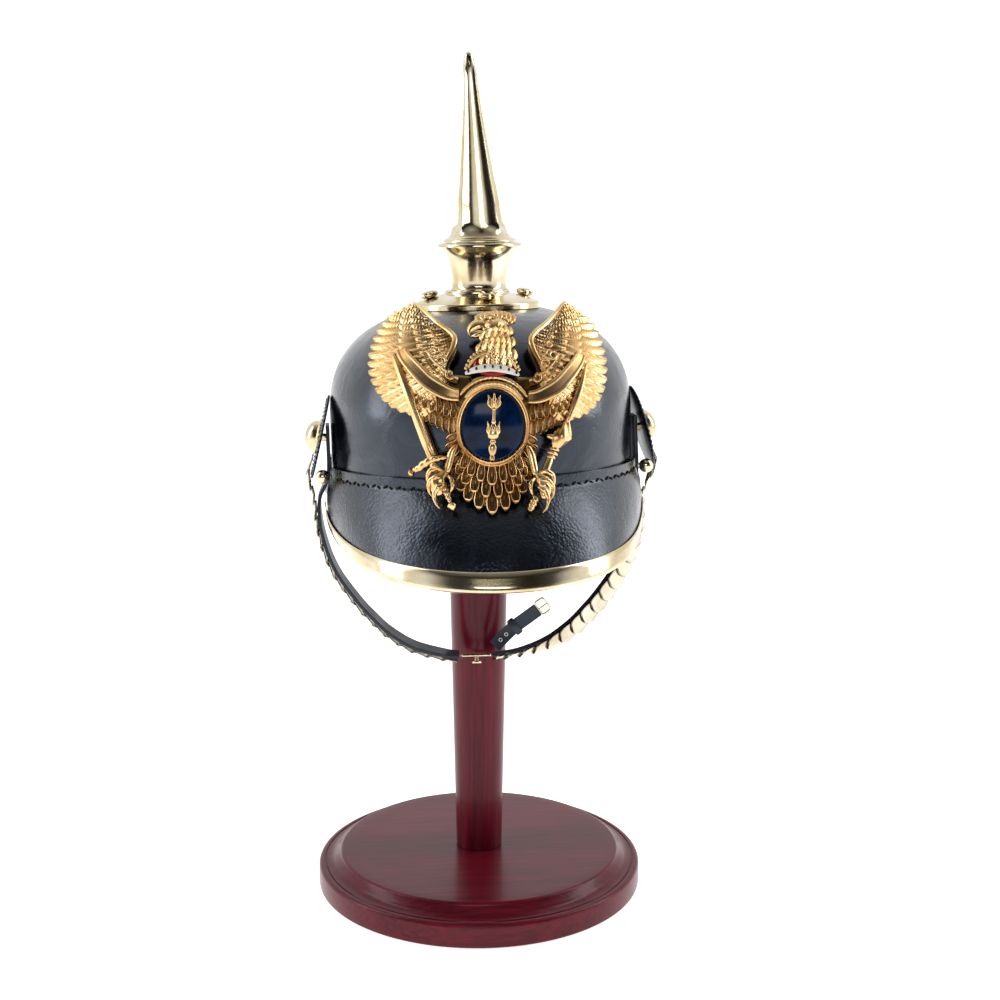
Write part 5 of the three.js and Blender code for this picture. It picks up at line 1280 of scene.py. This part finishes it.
def makeStrap(name, way):
    rows = hangingRows(way)
    rows[0] = (rows[0][0] - way * 1.2, *rows[0][1:])
    tab = [rolledRow(way * 91.5, side["y"], side["z"] + 7), rolledRow(way * 91.5, side["y"], side["z"]),
           rolledRow(way * 92.1, side["y"] - 0.6, side["z"] - 22)]
    leather = ribbon([*tab, *rows], way, strap["width"] / 2, -strap["thickness"], 0, 150)
    finishPiece(leather, f"strap_{name}_leather", strapLeather, [f"chin_strap_{name}"],
                angle=40)

    onDisc = lambda down: (*(helmetRoll @ sideMatrix(way) @ Vector((way * down, 0, 1.05))), 0.0)
    path = [onDisc(side["bossRadius"] + 1.2), onDisc(side["radius"] - 2), *hangingRows(way)]
    length = strapFrames(path, way, [0, 1])[4]
    count = round(length / strap["pitch"])
    scales = []
    for i in range(count):
        start, reach = i / count, 1.32 / count
        shadeAndTarnish = []

        def place(u, v):
            a = u * 2 - 1
            inner = 5 / 6
            e = np.minimum(1, np.abs(a) / inner)
            scoop = 0.30 * (1 - e ** 2) if i < count - 1 else 0 * e
            share = np.minimum(1, start + reach * (v * (0.72 + scoop)))
            at, run, wide, face, _ = strapFrames(path, way, share)
            wall = (np.abs(a) > inner + 0.01) | (v > 0.999)
            crown = 1.15 * (1 - e ** 2.2) * (0.45 + 0.55 * v)
            lip = 0.45 * smoothStep((v - 0.82) / 0.1)
            lift = strap["seat"] + 0.35 + v * 0.85 + crown + lip
            taper = mix(0.86, 1.0, smoothStep(v * 1.4)) * (1 - 0.05 * smoothStep((v - 0.85) / 0.15))
            half = strap["scaleWidth"] / 2 * taper
            lift = np.where(wall, lift - mix(0.5, 0.9, v), lift)
            # painted shade: each scale is darker at its walls, its side edges and its tucked-under end
            shade = 0.9 * wall + 0.75 * (1 - smoothStep(v / 0.3)) + 0.5 * smoothStep((e - 0.8) / 0.2)
            shadeAndTarnish.append(np.clip(shade, 0, 0.95))
            return at + wide * (np.sign(a) * e * half)[:, None] + face * lift[:, None]

        scale = gridPiece(12, 10, place)
        scales.append(setShadeAndTarnish(scale, shadeAndTarnish[0]))
    run = joined(scales)
    if way < 0:
        startEdit(run)
        bpy.ops.mesh.flip_normals()
        bpy.ops.object.mode_set(mode="OBJECT")
    finishPiece(run, f"scales_{name}_brass", scaleBrass, [f"chin_scales_{name}"], angle=45)


makeStrap("left", -1)
makeStrap("right", 1)
print("strap made")


# ---- buckle, free end, keeper and end frame
def wireLoop(halfLong, halfBroad, wire, corner=1.6, sides=10):
    path = []
    for cx, cy, start in ((1, 1, 0), (-1, 1, 90), (-1, -1, 180), (1, -1, 270)):
        for a in np.radians(np.linspace(start, start + 90, 7)):
            path.append((cx * (halfLong - corner) + corner * math.cos(a),
                         cy * (halfBroad - corner) + corner * math.sin(a)))
    path = np.array([*path, path[0]])
    far = np.concatenate([[0], np.cumsum(np.hypot(*np.diff(path, axis=0).T))])

    def place(u, v):
        x, y = np.interp(v * far[-1], far, path[:, 0]), np.interp(v * far[-1], far, path[:, 1])
        ahead = ((v * far[-1] + 0.2) % far[-1])
        dx, dy = np.interp(ahead, far, path[:, 0]) - x, np.interp(ahead, far, path[:, 1]) - y
        size = np.maximum(1e-9, np.hypot(dx, dy))
        turn = u * 2 * math.pi
        out = np.cos(turn) * wire / 2
        return np.column_stack([x + dy / size * out, y - dx / size * out, np.sin(turn) * wire / 2])

    return weld(gridPiece(sides, 96, place))


def makeBuckle():
    at = Matrix.Translation((-4, -26.9, 151.4)) @ Matrix.Rotation(math.radians(180 - 16), 4, "X")
    frame17 = wireLoop(8.5, 6.3, 1.5)
    bar = cordPiece([(0, -6.2, 0, 0.65), (0, 0, 0, 0.65), (0, 6.2, 0, 0.65)], 12, 16)
    stud = turnedPiece([(1.2, 0.2), (1.2, 2.9), (1.9, 3.3), (2.8, 3.5), (2.9, 3.9), (2.6, 4.5), (1.7, 4.85),
                        (0.6, 5.0)], 32)
    stud.data.transform(Matrix.Translation((0, 5.6, 0)))
    piece = joined([frame17, bar, stud])
    piece.data.transform(at)
    finishPiece(piece, "buckle_brass", sheetBrass, ["buckle"], angle=40)


def makeTail():
    leather = ribbon(tailRoute, 1, 4, 0, 1.8, 50)
    at, run, wide, face, length = strapFrames(tailRoute, 1, [0.16, 0.3, 0.5, 1.0])
    eyelets = []
    for k in (0, 1):
        ring = wireLoop(0.95, 0.95, 0.5, corner=0.9, sides=8)
        turn = Matrix((wide[k], run[k], face[k])).transposed().to_4x4()
        ring.data.transform(Matrix.Translation(at[k] + face[k] * 1.8) @ turn)
        eyelets.append(ring)
    finishPiece(leather, "strap_end_leather", strapLeather, ["strap_tail"], angle=40)
    finishPiece(joined(eyelets), "strap_end_eyelets", sheetBrass, angle=40)
    middle = Matrix.Translation(at[2] + face[2] * 0.9) @ Matrix((wide[2], run[2],
                                                                 face[2])).transposed().to_4x4()

    def sleeve(u, v):
        ring = np.array([(-5.2, 0), (-5.2, 1.3), (-4.6, 1.9), (0, 2.0), (4.6, 1.9), (5.2, 1.3), (5.2, -1.3),
                         (4.6, -1.9), (0, -2.0), (-4.6, -1.9), (-5.2, -1.3), (-5.2, 0)], float)
        corner = ring[np.rint(u * 11).astype(int)]
        grow = 1 - 0.05 * (2 * v - 1) ** 4
        return np.column_stack([corner[:, 0] * grow, (v - 0.5) * 4, corner[:, 1] * grow])

    keeper = weld(gridPiece(11, 6, sleeve), holes=False)
    addModifier(keeper, "SOLIDIFY", thickness=0.7, offset=-1)
    keeper.data.transform(middle)
    finishPiece(keeper, "keeper_leather", strapLeather, ["tail_keeper"], angle=50)
    end = Matrix.Translation(at[3] + face[3] * 0.9 + run[3] * 3.7) @ Matrix((wide[3], run[3],
        face[3])).transposed().to_4x4()
    loop = wireLoop(4.4, 3.1, 1.2)
    tongue = cordPiece([(0, -3.2, 0.5, 0.5), (0, 0, 0.7, 0.5), (0, 3.2, 0.5, 0.45)], 10, 14)
    frameEnd = joined([loop, tongue])
    frameEnd.data.transform(end)
    finishPiece(frameEnd, "end_frame_brass", sheetBrass, ["tail_buckle"], angle=40)


makeBuckle()
makeTail()
print("buckle made")


# ---- floor, light and world
def addLight(name, size, power, position, aim, colour="#ffffff"):
    data = bpy.data.lights.new(name, "AREA")
    data.shape = "RECTANGLE"
    data.size, data.size_y = size
    data.energy = power
    data.color = hexColour(colour)[:3]
    light = bpy.data.objects.new(name, data)
    bpy.context.scene.collection.objects.link(light)
    light.location = position
    light.rotation_euler = (Vector(aim) - Vector(position)).to_track_quat("-Z", "Y").to_euler()


def makeStage():
    deselectAll()
    bpy.ops.mesh.primitive_plane_add(size=1)
    floor = bpy.context.object
    points = readPoints(floor)
    points *= (14, 14, 0)
    writePoints(floor, points)
    floor.name = "floor"
    material, tree, shader = startMaterial("matte white board",
                                           {"Roughness": 0.9, "Emission Strength": 0.75})
    shader.inputs["Base Color"].default_value = hexColour("#ffffff")
    shader.inputs["Emission Color"].default_value = hexColour("#ffffff")
    floor.data.materials.append(material)
    world = bpy.data.worlds.new("studio")
    world.use_nodes = True
    tree = world.node_tree
    toward = addNode(tree, "ShaderNodeTexCoord").outputs["Generated"]
    parts = addNode(tree, "ShaderNodeSeparateXYZ", links={"Vector": toward})
    aside = addNode(tree, "ShaderNodeMath", {"operation": "ABSOLUTE"}, links={0: parts.outputs["X"]})
    room = rampNode(tree, aside.outputs["Value"], [(0.4, "#100b0a"), (0.68, "#424246"), (0.9, "#f4f4f4")])
    behind = rampNode(tree, addNode(tree, "ShaderNodeMath", {"operation": "MULTIPLY_ADD"}, {1: 0.5, 2: 0.5},
                                    {0: parts.outputs["Y"]}).outputs["Value"],
                      [(0.45, 0.0), (0.7, 1.0)])
    over = rampNode(tree, parts.outputs["Z"], [(0.7, 0.0), (0.97, 0.3)])
    lit = addNode(tree, "ShaderNodeMix", {"data_type": "RGBA"}, {"B": hexColour("#ffffff")},
                  {"Factor": behind.outputs["Color"], "A": room.outputs["Color"]})
    lit = addNode(tree, "ShaderNodeMix", {"data_type": "RGBA"}, {"B": hexColour("#ffffff")},
                  {"Factor": over.outputs["Color"], "A": lit.outputs["Result"]})
    tree.links.new(lit.outputs["Result"], tree.nodes["Background"].inputs["Color"])
    tree.nodes["Background"].inputs["Strength"].default_value = 1.05
    bpy.context.scene.world = world
    middle = (0, 0, 0.27)
    addLight("left softbox", (0.4, 1.3), 6, (-1.15, 0.06, 0.8), middle)
    addLight("right softbox", (0.4, 1.3), 7, (1.15, 0.0, 0.85), middle)
    addLight("front softbox", (0.6, 0.3), 2.2, (-0.15, -1.2, 0.7), middle)


makeStage()
print("stage made")
